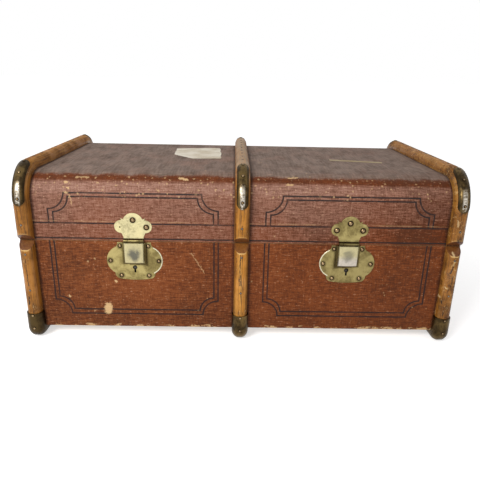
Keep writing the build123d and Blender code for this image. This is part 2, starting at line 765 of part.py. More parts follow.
def all_nodes():
    nodes = {}
    nodes.update(base_boards())
    nodes["base_canvas"] = base_canvas()
    nodes["base_lining"] = base_lining()
    nodes.update(rim_lips())
    nodes.update(lid_boards())
    nodes["lid_canvas"] = lid_canvas()
    nodes["lid_lining"] = lid_lining()

    hoop = lid_slat()
    front, runner, back = base_slat_pieces()
    foot = foot_cap()
    cap = corner_cap()
    for name, x in slat_places.items():
        place = Pos(x, 0, 0)
        nodes[f"lid_slat_{name}"] = place * hoop
        nodes[f"base_front_slat_{name}"] = place * front
        nodes[f"bottom_runner_{name}"] = place * runner
        nodes[f"base_back_slat_{name}"] = place * back
        nodes[f"front_foot_cap_{name}"] = place * foot
        nodes[f"front_corner_cap_{name}"] = place * cap
    places = [Pos(x, 0, 0) for x in slat_places.values()]
    nodes["back_foot_caps"] = [place * flip_y(foot) for place in places]
    nodes["back_corner_caps"] = [place * flip_y(cap) for place in places]

    for name, side in sides.items():
        place = Pos(side * lock_spacing / 2, 0, 0)
        nodes[f"lock_plate_{name}"] = place * lock_plate()
        nodes[f"lock_case_{name}"] = place * lock_case()
        nodes[f"lock_bolt_{name}"] = place * lock_bolt()
        nodes[f"hasp_plate_{name}"] = place * hasp_plate()
        nodes[f"hasp_{name}"] = place * hasp()
        bracket = on_side(handle_bracket(), side)
        nodes[f"handle_brackets_{name}"] = [bracket, flip_y(bracket)]
        nodes[f"handle_{name}"] = on_side(handle(), side)
        nodes[f"stay_lower_bar_{name}"] = on_side(stay_lower_bar(), side)
        nodes[f"stay_upper_bar_{name}"] = on_side(stay_upper_bar(), side)

    lock_places = [Pos(side * lock_spacing / 2, 0, 0) for side in sides.values()]
    hinge_places = [Pos(side * hinge_spacing / 2, 0, 0) for side in sides.values()]
    nodes["hasp_pins"] = [place * hasp_pin() for place in lock_places]
    nodes["hinge_base_leaves"] = [place * base_hinge_leaf() for place in hinge_places]
    nodes["hinge_lid_leaves"] = [place * lid_hinge_leaf() for place in hinge_places]
    nodes["hinge_pins"] = [place * hinge_pin() for place in hinge_places]
    nodes["stay_base_plates"] = [on_side(stay_base_plate(), side) for side in sides.values()]
    nodes["stay_lid_plates"] = [on_side(stay_lid_plate(), side) for side in sides.values()]
    return nodes


os.makedirs("parts", exist_ok=True)
for node_name, shape in all_nodes().items():
    solids = []
    for piece in shape if isinstance(shape, list) else [shape]:
        solids.extend(piece.solids())
    export_step(Compound(children=solids), f"parts/{node_name}.step")
    print(node_name, len(solids), round(sum(solid.volume for solid in solids)))
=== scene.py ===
import json
import math
import random

import bmesh
import bpy
from mathutils import Matrix, Vector, noise

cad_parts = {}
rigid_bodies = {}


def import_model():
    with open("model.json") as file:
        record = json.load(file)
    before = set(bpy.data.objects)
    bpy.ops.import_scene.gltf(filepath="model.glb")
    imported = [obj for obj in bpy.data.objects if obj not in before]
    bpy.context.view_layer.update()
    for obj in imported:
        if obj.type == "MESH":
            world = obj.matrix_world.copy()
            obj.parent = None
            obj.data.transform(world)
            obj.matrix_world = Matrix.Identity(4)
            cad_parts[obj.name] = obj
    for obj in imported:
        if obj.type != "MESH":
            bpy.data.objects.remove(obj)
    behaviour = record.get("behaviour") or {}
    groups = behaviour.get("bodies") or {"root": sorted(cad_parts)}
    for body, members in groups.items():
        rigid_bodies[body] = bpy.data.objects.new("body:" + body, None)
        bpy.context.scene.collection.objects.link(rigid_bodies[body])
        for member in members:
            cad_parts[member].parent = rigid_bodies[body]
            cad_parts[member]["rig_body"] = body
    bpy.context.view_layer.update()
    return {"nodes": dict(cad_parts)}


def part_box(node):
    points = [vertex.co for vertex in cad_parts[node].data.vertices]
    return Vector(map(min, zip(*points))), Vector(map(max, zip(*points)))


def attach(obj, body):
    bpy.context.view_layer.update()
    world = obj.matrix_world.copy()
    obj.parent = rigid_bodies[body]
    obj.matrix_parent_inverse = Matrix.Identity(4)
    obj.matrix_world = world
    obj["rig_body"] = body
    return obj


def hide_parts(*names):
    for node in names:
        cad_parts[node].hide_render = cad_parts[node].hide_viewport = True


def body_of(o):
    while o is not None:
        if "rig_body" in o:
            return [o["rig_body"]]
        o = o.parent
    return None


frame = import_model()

print("trunk: frame loaded")

# Camera, worked out from the photograph's edges; metres and radians
view = {
    "place": (-0.0173, -1.1035, 0.5146),
    "pitchDown": 0.3335,
    "turn": 0.0161,
    "roll": 0.0209,
    "focal": 487.9,         # pixels of the 480 pixel frame
    "frame": 480,
    "sensor": 36.0,
}


def intoScene(name, data):
    item = bpy.data.objects.new(name, data)
    bpy.context.scene.collection.objects.link(item)
    return item


def makeCamera():
    camera = intoScene("camera", bpy.data.cameras.new("camera"))
    sinP, cosP = math.sin(view["pitchDown"]), math.cos(view["pitchDown"])
    sinT, cosT = math.sin(view["turn"]), math.cos(view["turn"])
    ahead = Vector((sinT * cosP, cosT * cosP, -sinP))
    side = Vector((cosT, -sinT, 0))
    up = side.cross(ahead)
    right = side * math.cos(view["roll"]) + up * math.sin(view["roll"])
    top = up * math.cos(view["roll"]) - side * math.sin(view["roll"])
    turned = Matrix((right, top, -ahead)).transposed().to_4x4()
    camera.matrix_world = Matrix.Translation(view["place"]) @ turned
    camera.data.sensor_width = view["sensor"]
    camera.data.lens = view["focal"] / view["frame"] * view["sensor"]
    bpy.context.scene.camera = camera


makeCamera()

# The covered box as the frame has it
baseLow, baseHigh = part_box("base_canvas")
lidLow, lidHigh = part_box("lid_canvas")
halfLength, halfDepth = baseHigh.x, baseHigh.y
canvasBottom, seam = baseLow.z, baseHigh.z
lidBottom, lidTop = lidLow.z, lidHigh.z
bendRadius = 0.05
bendLevel = lidTop - bendRadius
bendStart = halfDepth - bendRadius
sides = {"left": -1, "right": 1}
places = ("left", "middle", "right")


def centre(node):
    low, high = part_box(node)
    return (low + high) / 2


def shade(red, green, blue):
    # a colour as a paint program gives it, 0 to 255, made linear
    linear = [((c / 255 + 0.055) / 1.055) ** 2.4 if c > 10 else c / 255 / 12.92
              for c in (red, green, blue)]
    return (*linear, 1)


slatCentre, slatHalf = centre("lid_slat_right").x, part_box("lid_slat_middle")[1].x
outerFrom = 0.2     # past this the nearest slat is an outer one


class Signal:
    # one socket of a node tree, so that shader maths reads as plain expressions
    def __init__(self, nodes, socket):
        self.nodes = nodes
        self.socket = socket

    def also(self, name):
        return Signal(self.nodes, self.socket.node.outputs[name])

    def __add__(self, other):
        return self.nodes.maths("ADD", self, other)

    def __radd__(self, other):
        return self.nodes.maths("ADD", other, self)

    def __sub__(self, other):
        return self.nodes.maths("SUBTRACT", self, other)

    def __rsub__(self, other):
        return self.nodes.maths("SUBTRACT", other, self)

    def __mul__(self, other):
        return self.nodes.maths("MULTIPLY", self, other)

    def __rmul__(self, other):
        return self.nodes.maths("MULTIPLY", other, self)

    def __abs__(self):
        return self.nodes.maths("ABSOLUTE", self)

    def __lt__(self, other):
        return self.nodes.maths("LESS_THAN", self, other)

    def __gt__(self, other):
        return self.nodes.maths("GREATER_THAN", self, other)

    def sine(self):
        return self.nodes.maths("SINE", self)

    def rise(self, low, high, least=0.0, most=1.0):
        # a smooth step from least at low to most at high; high may lie below low
        return self.nodes.add("MapRange", {"interpolation_type": "SMOOTHSTEP"},
                              {0: self, 1: low, 2: high, 3: least, 4: most})


def highest(first, *others):
    for other in others:
        first = first.nodes.maths("MAXIMUM", first, other)
    return first


def lowest(first, *others):
    for other in others:
        first = first.nodes.maths("MINIMUM", first, other)
    return first


class Nodes:
    # a node tree, in which add() makes every node
    def __init__(self, tree):
        self.tree = tree

    def feed(self, socket, value):
        if isinstance(value, Signal):
            self.tree.links.new(value.socket, socket)
        else:
            socket.default_value = value

    def add(self, kind, settings=None, values=None, output=0):
        node = self.tree.nodes.new("ShaderNode" + kind)
        for setting, value in (settings or {}).items():
            setattr(node, setting, value)
        for socket, value in (values or {}).items():
            self.feed(node.inputs[socket], value)
        return Signal(self, node.outputs[output])

    def maths(self, operation, *values):
        return self.add("Math", {"operation": operation}, dict(enumerate(values)))

    def vectors(self, operation, *values, output=0):
        return self.add("VectorMath", {"operation": operation}, dict(enumerate(values)), output)

    def whiteRays(self):
        # how much a ray sees the white background: camera, mirror and glass rays do
        camera = self.add("LightPath", output="Is Camera Ray")
        return highest(camera, camera.also("Is Glossy Ray"), camera.also("Is Transmission Ray"))


class Finish(Nodes):
    # one material on Object coordinates; constants go straight on the shader's sockets
    def __init__(self, name, constants):
        self.material = bpy.data.materials.new(name)
        self.material.use_nodes = True
        super().__init__(self.material.node_tree)
        self.shader = self.tree.nodes["Principled BSDF"]
        for socket, value in constants.items():
            self.feed(self.shader.inputs[socket], value)
        self.place = self.add("TexCoord", output="Object")
        self.x = self.add("SeparateXYZ", None, {0: self.place}, "X")
        self.y, self.z = self.x.also("Y"), self.x.also("Z")

    def facing(self, axis):
        # how far the surface faces along one axis
        return self.add("SeparateXYZ", None, {0: self.add("NewGeometry", output="Normal")}, axis)

    def polish(self):
        return self.add("Attribute", {"attribute_name": "polish"}, output="Fac")

    def point(self, x, y, z):
        return self.add("CombineXYZ", None, {0: x, 1: y, 2: z})

    def distance(self, across, level, spot=(0, 0)):
        # distance from a spot in the plane of the two values
        return self.vectors("DISTANCE", self.point(across, level, 0), (*spot, 0), output="Value")

    def noise(self, place, scale, detail=3.0, roughness=0.55, distortion=0.0):
        return self.add("TexNoise", None, {"Vector": place, "Scale": scale, "Detail": detail,
                                           "Roughness": roughness, "Distortion": distortion})

    def cells(self, place, scale):
        return self.add("TexVoronoi", None, {"Vector": place, "Scale": scale}, "Distance")

    def blend(self, first, second, share):
        return self.add("Mix", {"data_type": "RGBA"}, {0: share, 6: first, 7: second}, 2)

    def bump(self, height, distance, strength):
        return self.add("Bump", None, {"Height": height, "Distance": distance, "Strength": strength})

    def dress(self, **values):
        names = {"color": "Base Color", "roughness": "Roughness", "coat": "Coat Weight", "normal": "Normal"}
        for name, value in values.items():
            self.feed(self.shader.inputs[names[name]], value)
        return self.material


def pastBend(finish):
    # how far a spot lies outward of and above the centre line of its bend
    return highest(abs(finish.y) - bendStart, 0.0), highest(finish.z - bendLevel, 0.0)


def bendRun(finish, radius):
    # distance up the front, round the bend and over the top, and the angle round the bend
    outward, upward = pastBend(finish)
    angle = finish.maths("ARCTAN2", upward, outward)
    return lowest(finish.z, bendLevel) + angle * radius + highest(bendStart - abs(finish.y), 0.0), angle


def slatOffset(finish):
    # distance from the middle line of the nearest slat, and whether that is an outer one
    wide = abs(finish.x)
    outer = wide > outerFrom
    return wide + (abs(wide - slatCentre) - wide) * outer, outer


def stroke(finish, spot, x1, run1, x2, run2, width, share, ragged):
    # how far a spot lies inside a short stroke with ragged edges
    reach = Vector((x2 - x1, run2 - run1, 0))
    offset = finish.vectors("SUBTRACT", spot, (x1, run1, 0))
    along = finish.vectors("DOT_PRODUCT", offset, reach / reach.length_squared, output="Value")
    part = lowest(highest(along, 0.0), 1.0)
    nearest = finish.add("VectorMath", {"operation": "SCALE"}, {0: reach, "Scale": part})
    away = finish.vectors("DISTANCE", offset, nearest, output="Value")
    return (away + ragged * (0.0016 + width * 1.2)).rise(width, width * 0.6, 0.0, share)


# Painted canvas, in metres
canvasLook = {
    "weavePitch": 0.0013,
    "paint": shade(127, 61, 21),
    "deepPaint": shade(80, 38, 13),
    "wornPaint": shade(160, 106, 66),
    "chalkyPaint": shade(163, 123, 106),
    "fleck": shade(206, 166, 134),
    "dust": shade(146, 126, 114),
    "darkDust": shade(74, 56, 45),
    "grime": shade(46, 26, 17),
    "bareCloth": shade(221, 183, 132),
    "stripe": shade(28, 25, 27),
    "stripeWidth": 0.003,
    "stripeWander": 0.0006,
    "rubbedLevel": 0.2422,      # a rubbed line across the lid's front
    "baseRun": 0.3,             # level from which the base's cloth is counted down
}
# Pinstripe frames, two on each panel: x of the middle, then half width, level, corner radius
lidFrames = {"middle": 0.204, "outer": (0.159, 0.2965, 0.031), "inner": (0.15, 0.2895, 0.0296)}
baseFrames = {"middle": 0.205, "outer": (0.1605, 0.0495, 0.03), "inner": (0.1523, 0.059, 0.027)}
lidBands = (0.2382, 0.2085)
# Knocks and rubbed spots on the front as strokes: x and run of both ends, width, share
lidStrokes = (
    (-0.3295, 0.3167, -0.3255, 0.316, 0.003, 0.9),
    (-0.325, 0.3066, -0.3225, 0.306, 0.0026, 0.9),
    (-0.3285, 0.2973, -0.3255, 0.2968, 0.0026, 0.8),
    (-0.3225, 0.299, -0.3165, 0.273, 0.001, 0.6),
    (-0.311, 0.3284, -0.289, 0.329, 0.0024, 0.6),
    (-0.118, 0.3305, -0.1035, 0.3258, 0.003, 0.9),
    (0.085, 0.3358, 0.103, 0.3363, 0.0024, 0.8),
    (0.084, 0.3186, 0.0945, 0.3188, 0.0022, 0.7),
)
baseStrokes = (
    (-0.263, 0.066, -0.264, 0.056, 0.0085, 1.0),
    (-0.245, 0.121, -0.244, 0.119, 0.0034, 0.9),
    (-0.338, 0.0872, -0.337, 0.0855, 0.003, 0.9),
    (-0.097, 0.1815, -0.0712, 0.1401, 0.0009, 0.5),
)


class Canvas(Finish):
    # painted cloth of the lid or the base, with what its layers share
    def __init__(self, node, isLid):
        super().__init__(node + ".cloth", {"IOR": 1.46, "Specular IOR Level": 0.2})
        self.isLid = isLid
        x, y, z = self.x, self.y, self.z
        onEnd = abs(x).rise(halfLength - 0.0006, halfLength - 0.0002)
        self.offEnd = 1 - onEnd
        self.onFront = (y < 0) * self.offEnd
        if isLid:
            self.run, angle = bendRun(self, bendRadius)
            self.turned = angle * (180 / math.pi)
            whole = bendLevel + bendRadius * math.pi / 2 + bendStart
        else:
            self.run = z - highest(halfDepth - abs(y), 0.0)
            whole = canvasLook["baseRun"]
        # across and along the threads, on the ends in y and z
        signed = (whole - self.run) * self.maths("SIGN", y)
        self.across = x + (y - x) * onEnd
        self.along = signed + (z - signed) * onEnd
        # thick and thin threads, fine grain, blotches in the paint, and the raggedness of marks
        weft = self.layer(55, 330, y * 4, 3, 0.7)
        warp = self.layer(330, 55, y * 4 + 7, 3, 0.7)
        self.thread = weft * 0.62 + warp * 0.38
        self.grain = self.layer(380, 520, 3, 3, 0.75)
        self.blotch = self.noise(self.place, 7, 4, 0.6)
        self.patch = self.noise(self.place, 34, 4, 0.65)
        self.ragged = (self.patch * 0.4 + self.grain) * 1.2 - 0.84

    def layer(self, across, along, offset, detail=3, roughness=0.6):
        # noise drawn out across or along the threads
        return self.noise(self.point(self.across * across, self.along * along, offset), 1, detail, roughness)


def chalked(cloth, color, chalk, chalkAndLight, rubbedLow, rubbedHigh):
    # chalky paint, strongest where the threads stand out
    rub = (cloth.thread + cloth.grain * 0.5).rise(rubbedLow, rubbedHigh)
    chalkAndLight = lowest(highest(chalkAndLight + (rub - 0.45) * (0.26 + chalkAndLight * 0.8), 0.0), 1.0)
    return cloth.blend(color, chalk, chalkAndLight), chalkAndLight


def lidPaint(cloth, color):
    # chalky on the front with a painted sheen, a painted highlight low on the bend, painted shade above it
    # along the crest, and on top dust with a painted reflection of the bright room
    look, x, z = canvasLook, cloth.x, cloth.z
    turned, ragged, offEnd = cloth.turned, cloth.ragged, cloth.offEnd
    # chalkier up the front toward the bend, as a painted sheen, and less so toward the right end, as painted
    # shade where the light falls from the left
    chalkAndLight = z.rise(seam, bendLevel, 0.2, 0.36) + x.rise(0.38, 0.12, -0.2, 0.06)
    chalkAndLight = chalkAndLight - x.rise(-0.1, 0.2) * z.rise(0.262, 0.232) * 0.1
    # a painted highlight low on the bend, stronger toward the left, then a band of painted shade along the
    # crest above it
    sheen = turned.rise(10, 26) * (turned + ragged * 8).rise(54, 38) * offEnd
    dusty = (turned + ragged * 16 + (cloth.patch - 0.5) * 20).rise(58, 70) * offEnd
    bendShade = (turned + ragged * 8).rise(38, 54) * (1 - dusty) * offEnd
    chalkAndLight = chalkAndLight + sheen * x.rise(0.3, -0.2, 0.17, 0.25) - bendShade * 0.52
    color, chalkAndLight = chalked(cloth, color, look["chalkyPaint"], chalkAndLight, 0.6, 0.9)
    color = cloth.blend(color, look["deepPaint"], bendShade * 0.44)
    # the top is seen at a low angle, so its dust and painted reflection lie in wide soft streaks as well
    streak = cloth.layer(45, 210, 5, 3, 0.7)
    line = cloth.layer(240, 22, 5)
    cloud = cloth.layer(36, 16, 6)
    bald = cloth.layer(9, 7, 8)
    powder = cloth.thread * 0.4 + streak * 0.45 + line * 0.5 + cloud * 0.7
    powder = cloth.blend(look["darkDust"], look["dust"], powder.rise(0.66, 1.3))
    cover = (bald * 0.7 + cloud * 0.3).rise(0.46, 0.64, 0.98, 0.72)
    return cloth.blend(color, powder, dusty * cover), chalkAndLight, dusty


def basePaint(cloth, color):
    # chalkier and lighter toward the left, as painted light falling from the left, darker along the bottom,
    # and free of dust
    chalkAndLight = cloth.x.rise(0.3, -0.3, 0.02, 0.13) + cloth.blotch.rise(0.4, 0.7, 0.0, 0.08)
    low = cloth.z.rise(0.085, 0.04) * cloth.offEnd * 0.2
    color = cloth.blend(color, canvasLook["deepPaint"], low)
    color, chalkAndLight = chalked(cloth, color, canvasLook["wornPaint"], chalkAndLight, 0.62, 0.94)
    return color, chalkAndLight, 0.0


def frameLine(cloth, across, run, middle, halfWidth, level, radius):
    # distance to a frame whose corners are scooped out
    beside = abs(abs(across) - middle)
    past = (run - level) if cloth.isLid else (level - run)
    corner = cloth.distance(beside, run, (halfWidth, level))
    return abs(highest(beside - halfWidth, past, radius - corner))


def pinstripes(cloth):
    # two frames on each panel of the front, and on the lid two bands below them
    look, frames = canvasLook, lidFrames if cloth.isLid else baseFrames
    shaky = cloth.noise(cloth.place, 90, 2, 0.5)
    bent = cloth.across + (shaky - 0.5) * look["stripeWander"] * 2
    level = cloth.run + (cloth.patch - 0.5) * look["stripeWander"] * 2
    lines = [frameLine(cloth, bent, level, frames["middle"], *frames[name]) for name in ("outer", "inner")]
    if cloth.isLid:
        ends = [highest(line, lidBands[0] - level) for line in lines]
        away = lowest(*ends, *[abs(level - band) for band in lidBands])
    else:
        away = lowest(*lines)
    left = (cloth.grain * 0.5 + cloth.thread * 0.6 + cloth.patch * 0.4).rise(0.6, 0.76, 0.3, 1.0)
    stripe = away.rise(look["stripeWidth"] * 0.6, look["stripeWidth"] * 0.36) * cloth.onFront
    return stripe * left * 0.94


def bareSpots(cloth):
    # knocks, rubbed edges and small chips, where the cloth shows
    x, z, run, ragged = cloth.x, cloth.z, cloth.run, cloth.ragged
    sway = cloth.noise(cloth.point(x * 150, run * 150, 1), 1, 3, 0.7)
    lean = cloth.noise(cloth.point(x * 150, run * 150, 9), 1, 3, 0.7)
    spot = cloth.point(x + (sway - 0.5) * 0.011, run + (lean - 0.5) * 0.011, 0)
    strokes = lidStrokes if cloth.isLid else baseStrokes
    knocks = highest(*[stroke(cloth, spot, *line, ragged) for line in strokes]) * cloth.onFront
    dots = cloth.cells(cloth.point(cloth.across, cloth.along, cloth.y * 0.1), 105) + (sway - 0.5) * 0.9
    dots = dots.rise(0.24, 0.1)
    chips = cloth.patch.rise(0.6, 0.66)
    if cloth.isLid:
        scuffed = cloth.turned.rise(4, 16) * cloth.turned.rise(70, 55)
        scuffed = scuffed * cloth.blotch.rise(0.36, 0.52)
        dots = dots * highest(scuffed * 0.55, chips * 0.4)
        edge = (z + ragged * 0.003).rise(lidBottom + 0.0012, lidBottom + 0.0004)
        ridge = abs(z - canvasLook["rubbedLevel"] + ragged * 0.0016).rise(0.0014, 0.0004, 0.0, 0.3)
        worn = highest(edge * 0.1, ridge * cloth.patch.rise(0.36, 0.56))
    else:
        dots = dots * chips * 0.5
        hem = cloth.noise(cloth.point(cloth.across * 34, z * 60, 0), 1, 5, 0.8)
        reach = hem.rise(0.46, 0.62, 0.0008, 0.007)
        low = (z - canvasBottom + ragged * 0.003).rise(reach * 1.3, reach * 0.8)
        low = low * hem.rise(0.36, 0.46, 0.3, 1.0)
        edge = (z + ragged * 0.003).rise(seam - 0.0012, seam - 0.0004)
        worn = highest(low * 0.85, edge * 0.12)
    corner = (abs(x) + ragged * 0.0016).rise(halfLength - 0.0014, halfLength - 0.0002) * cloth.offEnd
    return lowest(highest(knocks, worn, corner * 0.35, dots), 1.0)


def paintCanvas(node, isLid):
    look, cloth = canvasLook, Canvas(node, isLid)
    thin = cloth.blotch * 0.5 + cloth.thread + cloth.grain * 0.4
    # deeper toward the right end: painted shade, as the light falls from the left
    thin = thin - cloth.x.rise(0.1, 0.42) * (0.12 if isLid else 0.05)
    color = cloth.blend(look["deepPaint"], look["paint"], thin.rise(0.76, 1.12))
    color, chalkAndLight, dusty = (lidPaint if isLid else basePaint)(cloth, color)
    dash = cloth.layer(170, 380, cloth.y * 4 + 3, 2)
    fleck = (dash + (cloth.thread - 0.5) * 0.6).rise(0.62, 0.72)
    color = cloth.blend(color, look["fleck"], fleck * (0.2 + chalkAndLight * 0.5) * (1 - dusty * 0.6))
    # painted shade in the corners beside the slats
    beside = lowest(abs(abs(cloth.x) - slatCentre), abs(cloth.x)) - slatHalf
    slatGutterShade = (beside + cloth.ragged * 0.004).rise(0.0065, 0.001) * cloth.offEnd
    color = cloth.blend(color, look["grime"], slatGutterShade * 0.62)
    color = cloth.blend(color, look["stripe"], pinstripes(cloth))
    bare = bareSpots(cloth)
    color = cloth.blend(color, look["bareCloth"], bare * cloth.grain.rise(0.25, 0.6, 0.65, 1.0))
    turn = 2 * math.pi / look["weavePitch"]
    weave = (cloth.across * turn).sine() * (cloth.along * turn).sine()
    height = weave * 0.35 + cloth.thread * 0.9 + cloth.grain * 0.4 - bare * 0.8
    shine = cloth.thread.rise(0.35, 0.65, 0.5, 0.68) + dusty * 0.2
    return cloth.dress(color=color, roughness=shine, normal=cloth.bump(height, 0.00035, 0.55))


def coat(node, material):
    item = frame["nodes"][node]
    item.data.materials.clear()
    item.data.materials.append(material)


for node, isLid in (("base_canvas", False), ("lid_canvas", True)):
    coat(node, paintCanvas(node, isLid))
print("trunk: canvas painted")

# Strokes on the slats' fronts, dark cracks and pale chips: x and z of both ends, width, share
woodStrokes = {
    "post": ((-0.0019, 0.185, -0.0017, 0.122, 0.001, 0.95), (-0.0095, 0.179, -0.0093, 0.164, 0.0007, 0.7),
             (-0.4086, 0.1715, -0.4088, 0.1155, 0.0009, 0.8), (-0.4112, 0.091, -0.412, 0.076, 0.0022, 0.95),
             (0.408, 0.175, 0.404, 0.154, 0.0013, 0.9), (0.3963, 0.094, 0.3975, 0.089, 0.0017, 0.8),
             (0.4022, 0.072, 0.402, 0.064, 0.0015, 0.8), (0.4094, 0.148, 0.408, 0.12, 0.001, 0.8)),
    "hoop": ((0.0003, 0.243, 0.0001, 0.227, 0.0008, 0.8), (0.4072, 0.2215, 0.4074, 0.218, 0.003, 0.95),
             (-0.4075, 0.242, -0.408, 0.226, 0.0009, 0.7)),
}
chipStrokes = {
    "post": ((0.4038, 0.1935, 0.405, 0.1905, 0.0026, 0.6), (0.4082, 0.178, 0.407, 0.17, 0.0016, 0.5),
             (0.3985, 0.1238, 0.401, 0.1218, 0.0018, 0.5), (0.393, 0.102, 0.394, 0.0995, 0.0016, 0.45)),
    "hoop": ((0.4, 0.26, 0.4025, 0.248, 0.0016, 0.4),),
}
# Oblique cuts of the slats at the seam: level at the canvas, run over the slat's height, and how
# much the pale lip and the bare wood show
slatCuts = {
    "hoop": {"level": seam + 0.0012, "run": 0.0145, "height": 0.019, "lip": 0.25, "bare": 0.86},
    "post": {"level": seam, "run": -0.0145, "height": 0.0175, "lip": 0.75, "bare": 0.72},
}
hoopCrown = 0.018       # the hoop's grain is measured this far outside the bend of the canvas
woodLooks = {
    "bentwood": {"tone": shade(197, 130, 46), "dark": shade(70, 38, 14), "light": shade(222, 164, 80),
                 "grain": 0.5, "rough": 0.4, "pale": shade(222, 184, 124), "split": shade(34, 22, 14),
                 "lip": shade(232, 192, 124), "bare": shade(92, 48, 24), "dust": shade(150, 134, 114),
                 "chipped": shade(230, 196, 140), "crack": shade(28, 17, 12), "chip": shade(234, 206, 154)},
    "plywood": {"tone": shade(190, 152, 104), "dark": shade(140, 104, 66), "light": shade(212, 180, 134),
                "grain": 0.3, "rough": 0.7},
    "lip_wood": {"tone": shade(172, 128, 82), "dark": shade(112, 76, 44), "light": shade(198, 158, 112),
                 "grain": 0.4, "rough": 0.6},
}


def grainRun(finish, run):
    # how far along the grain and how deep in the piece a spot lies
    if run == "hoop":
        return bendRun(finish, bendRadius + hoopCrown)[0], finish.distance(*pastBend(finish))
    if run == "post":
        return finish.z, abs(finish.y)
    if run == "runner":
        return finish.y, finish.z
    return finish.x, finish.y + finish.z


class Wood(Finish):
    # wood with its grain; run says which way that goes: "hoop", "post", "runner" or "board"
    def __init__(self, name, run):
        super().__init__(name + "." + run, {"IOR": 1.45, "Specular IOR Level": 0.3, "Coat Roughness": 0.25})
        self.along, self.depth = grainRun(self, run)
        offset = self.maths("SIGN", self.y)
        self.fibre = self.fibres(420, 14, 4, 0.65, 0.3, offset * 3)
        self.band = self.fibres(90, 5, 3, 0.6, 0.4, offset)
        self.patch = self.noise(self.place, 26, 4, 0.65)

    def fibres(self, across, along, detail, roughness, distortion=0.0, offset=0.0):
        # noise drawn out along the grain
        spot = self.point(self.x * across, self.along * along + offset, self.depth * across)
        return self.noise(spot, 1, detail, roughness, distortion)


def varnishWearAndShade(wood, color, look, run):
    # painted shade on its flanks, dirty in patches, darker on the outer slats with painted shade added on
    # the right one, and stained on the right one
    x, patch = wood.x, wood.patch
    beside, outer = slatOffset(wood)
    flank = (beside + (patch - 0.5) * 0.006).rise(0.008, 0.0125)
    dirty = (patch * 0.7 + wood.fibre * 0.5).rise(0.54, 0.76)
    inward = outer * (abs(x) < slatCentre)
    # painted shade on the flanks, most on the outer side of the outer slats, and more on the right slat as
    # the light falls from the left
    dirtAndShade = outer * (0.34 + 0.12 * (x > 0)) + flank * (0.5 - inward * 0.44) + dirty * 0.4
    color = wood.blend(color, look["dark"], lowest(dirtAndShade, 0.92))
    stain = wood.noise(wood.place, 75, 4, 0.7, 1.2)
    right = x > outerFrom
    color = wood.blend(color, look["dark"], stain.rise(0.54, 0.62) * (0.15 + right * 0.5))
    color = wood.blend(color, look["pale"], stain.rise(0.42, 0.36) * right * 0.4)
    # fine splits along the crown
    split = wood.noise(wood.point(x * 260, wood.along * 9, 2), 1, 2, 0.5, 0.2)
    split = abs(split - 0.5).rise(0.02, 0.006) * beside.rise(0.008, 0.005)
    split = split * wood.noise(wood.point(x * 9, wood.along * 14, 0), 1, 1).rise(0.46, 0.54)
    color = wood.blend(color, look["split"], split * 0.9)
    speck = wood.fibres(900, 160, 2, 0.6)
    if run in slatCuts:
        color = cutEnds(wood, color, look, run, beside, speck)
    if run == "hoop":
        dusty = wood.z.rise(lidTop + 0.008, lidTop + 0.013)
        dusty = dusty * (0.14 + wood.fibre * 0.7 + wood.band * 0.5 - outer * 0.95 - flank * 0.3)
        color = wood.blend(color, look["dust"], highest(dusty, 0.0))
    chipped = (speck * 0.5 + patch * 0.6).rise(0.68, 0.75)
    return wood.blend(color, look["chipped"], chipped * 0.55)


def cutEnds(wood, color, look, run, beside, speck):
    # bare wood on the front cut at the seam, its pale lip lit as a painted highlight, and the strokes on the
    # slat's front
    cut, front = slatCuts[run], wood.y < 0
    past = (wood.z - cut["level"]) - (abs(wood.y) - halfDepth) * (cut["run"] / cut["height"])
    past = past * math.copysign(1, cut["run"])
    onCut = past.rise(0.0007, 0.0001) * front
    # a painted highlight along the lip of the cut
    lip = (past + (wood.fibre - 0.5) * 0.004).rise(0.004, 0.001) * (1 - onCut) * front
    lip = lip * beside.rise(0.0105, 0.006)
    color = wood.blend(color, look["lip"], lip * cut["lip"])
    color = wood.blend(color, look["bare"], onCut * cut["bare"])
    ragged = (speck * 0.6 + wood.patch * 0.4) * 1.2 - 0.6
    sway = wood.noise(wood.point(wood.x * 90, wood.z * 130, 4), 1, 2, 0.6)
    spot = wood.point(wood.x + (sway - 0.5) * 0.003, wood.z, 0)
    for tone, lines in (("crack", woodStrokes[run]), ("chip", chipStrokes[run])):
        marks = [stroke(wood, spot, *line, ragged * 1.8) for line in lines]
        color = wood.blend(color, look[tone], highest(*marks) * front)
    return color


def woodFinish(name, run):
    look, wood = woodLooks[name], Wood(name, run)
    color = wood.blend(look["tone"], look["light"], wood.band.rise(0.45, 0.7) * 0.7)
    color = wood.blend(color, look["dark"], wood.fibre.rise(0.5, 0.72) * look["grain"])
    rough = wood.patch.rise(0.35, 0.65, look["rough"] - 0.08, look["rough"] + 0.14)
    varnish = 0.0
    if name == "bentwood":
        color = varnishWearAndShade(wood, color, look, run)
        varnish = wood.patch.rise(0.6, 0.35, 0.02, 0.34)
        varnish = varnish * wood.z.rise(lidTop + 0.01, lidTop, 0.15, 1.0)
        rough = rough + wood.z.rise(lidTop, lidTop + 0.01) * 0.25
    height = wood.fibre * 0.8 + wood.band * 0.3
    return wood.dress(color=color, roughness=rough, coat=varnish, normal=wood.bump(height, 0.0003, 0.5))


lockPlace = centre("lock_plate_right").x
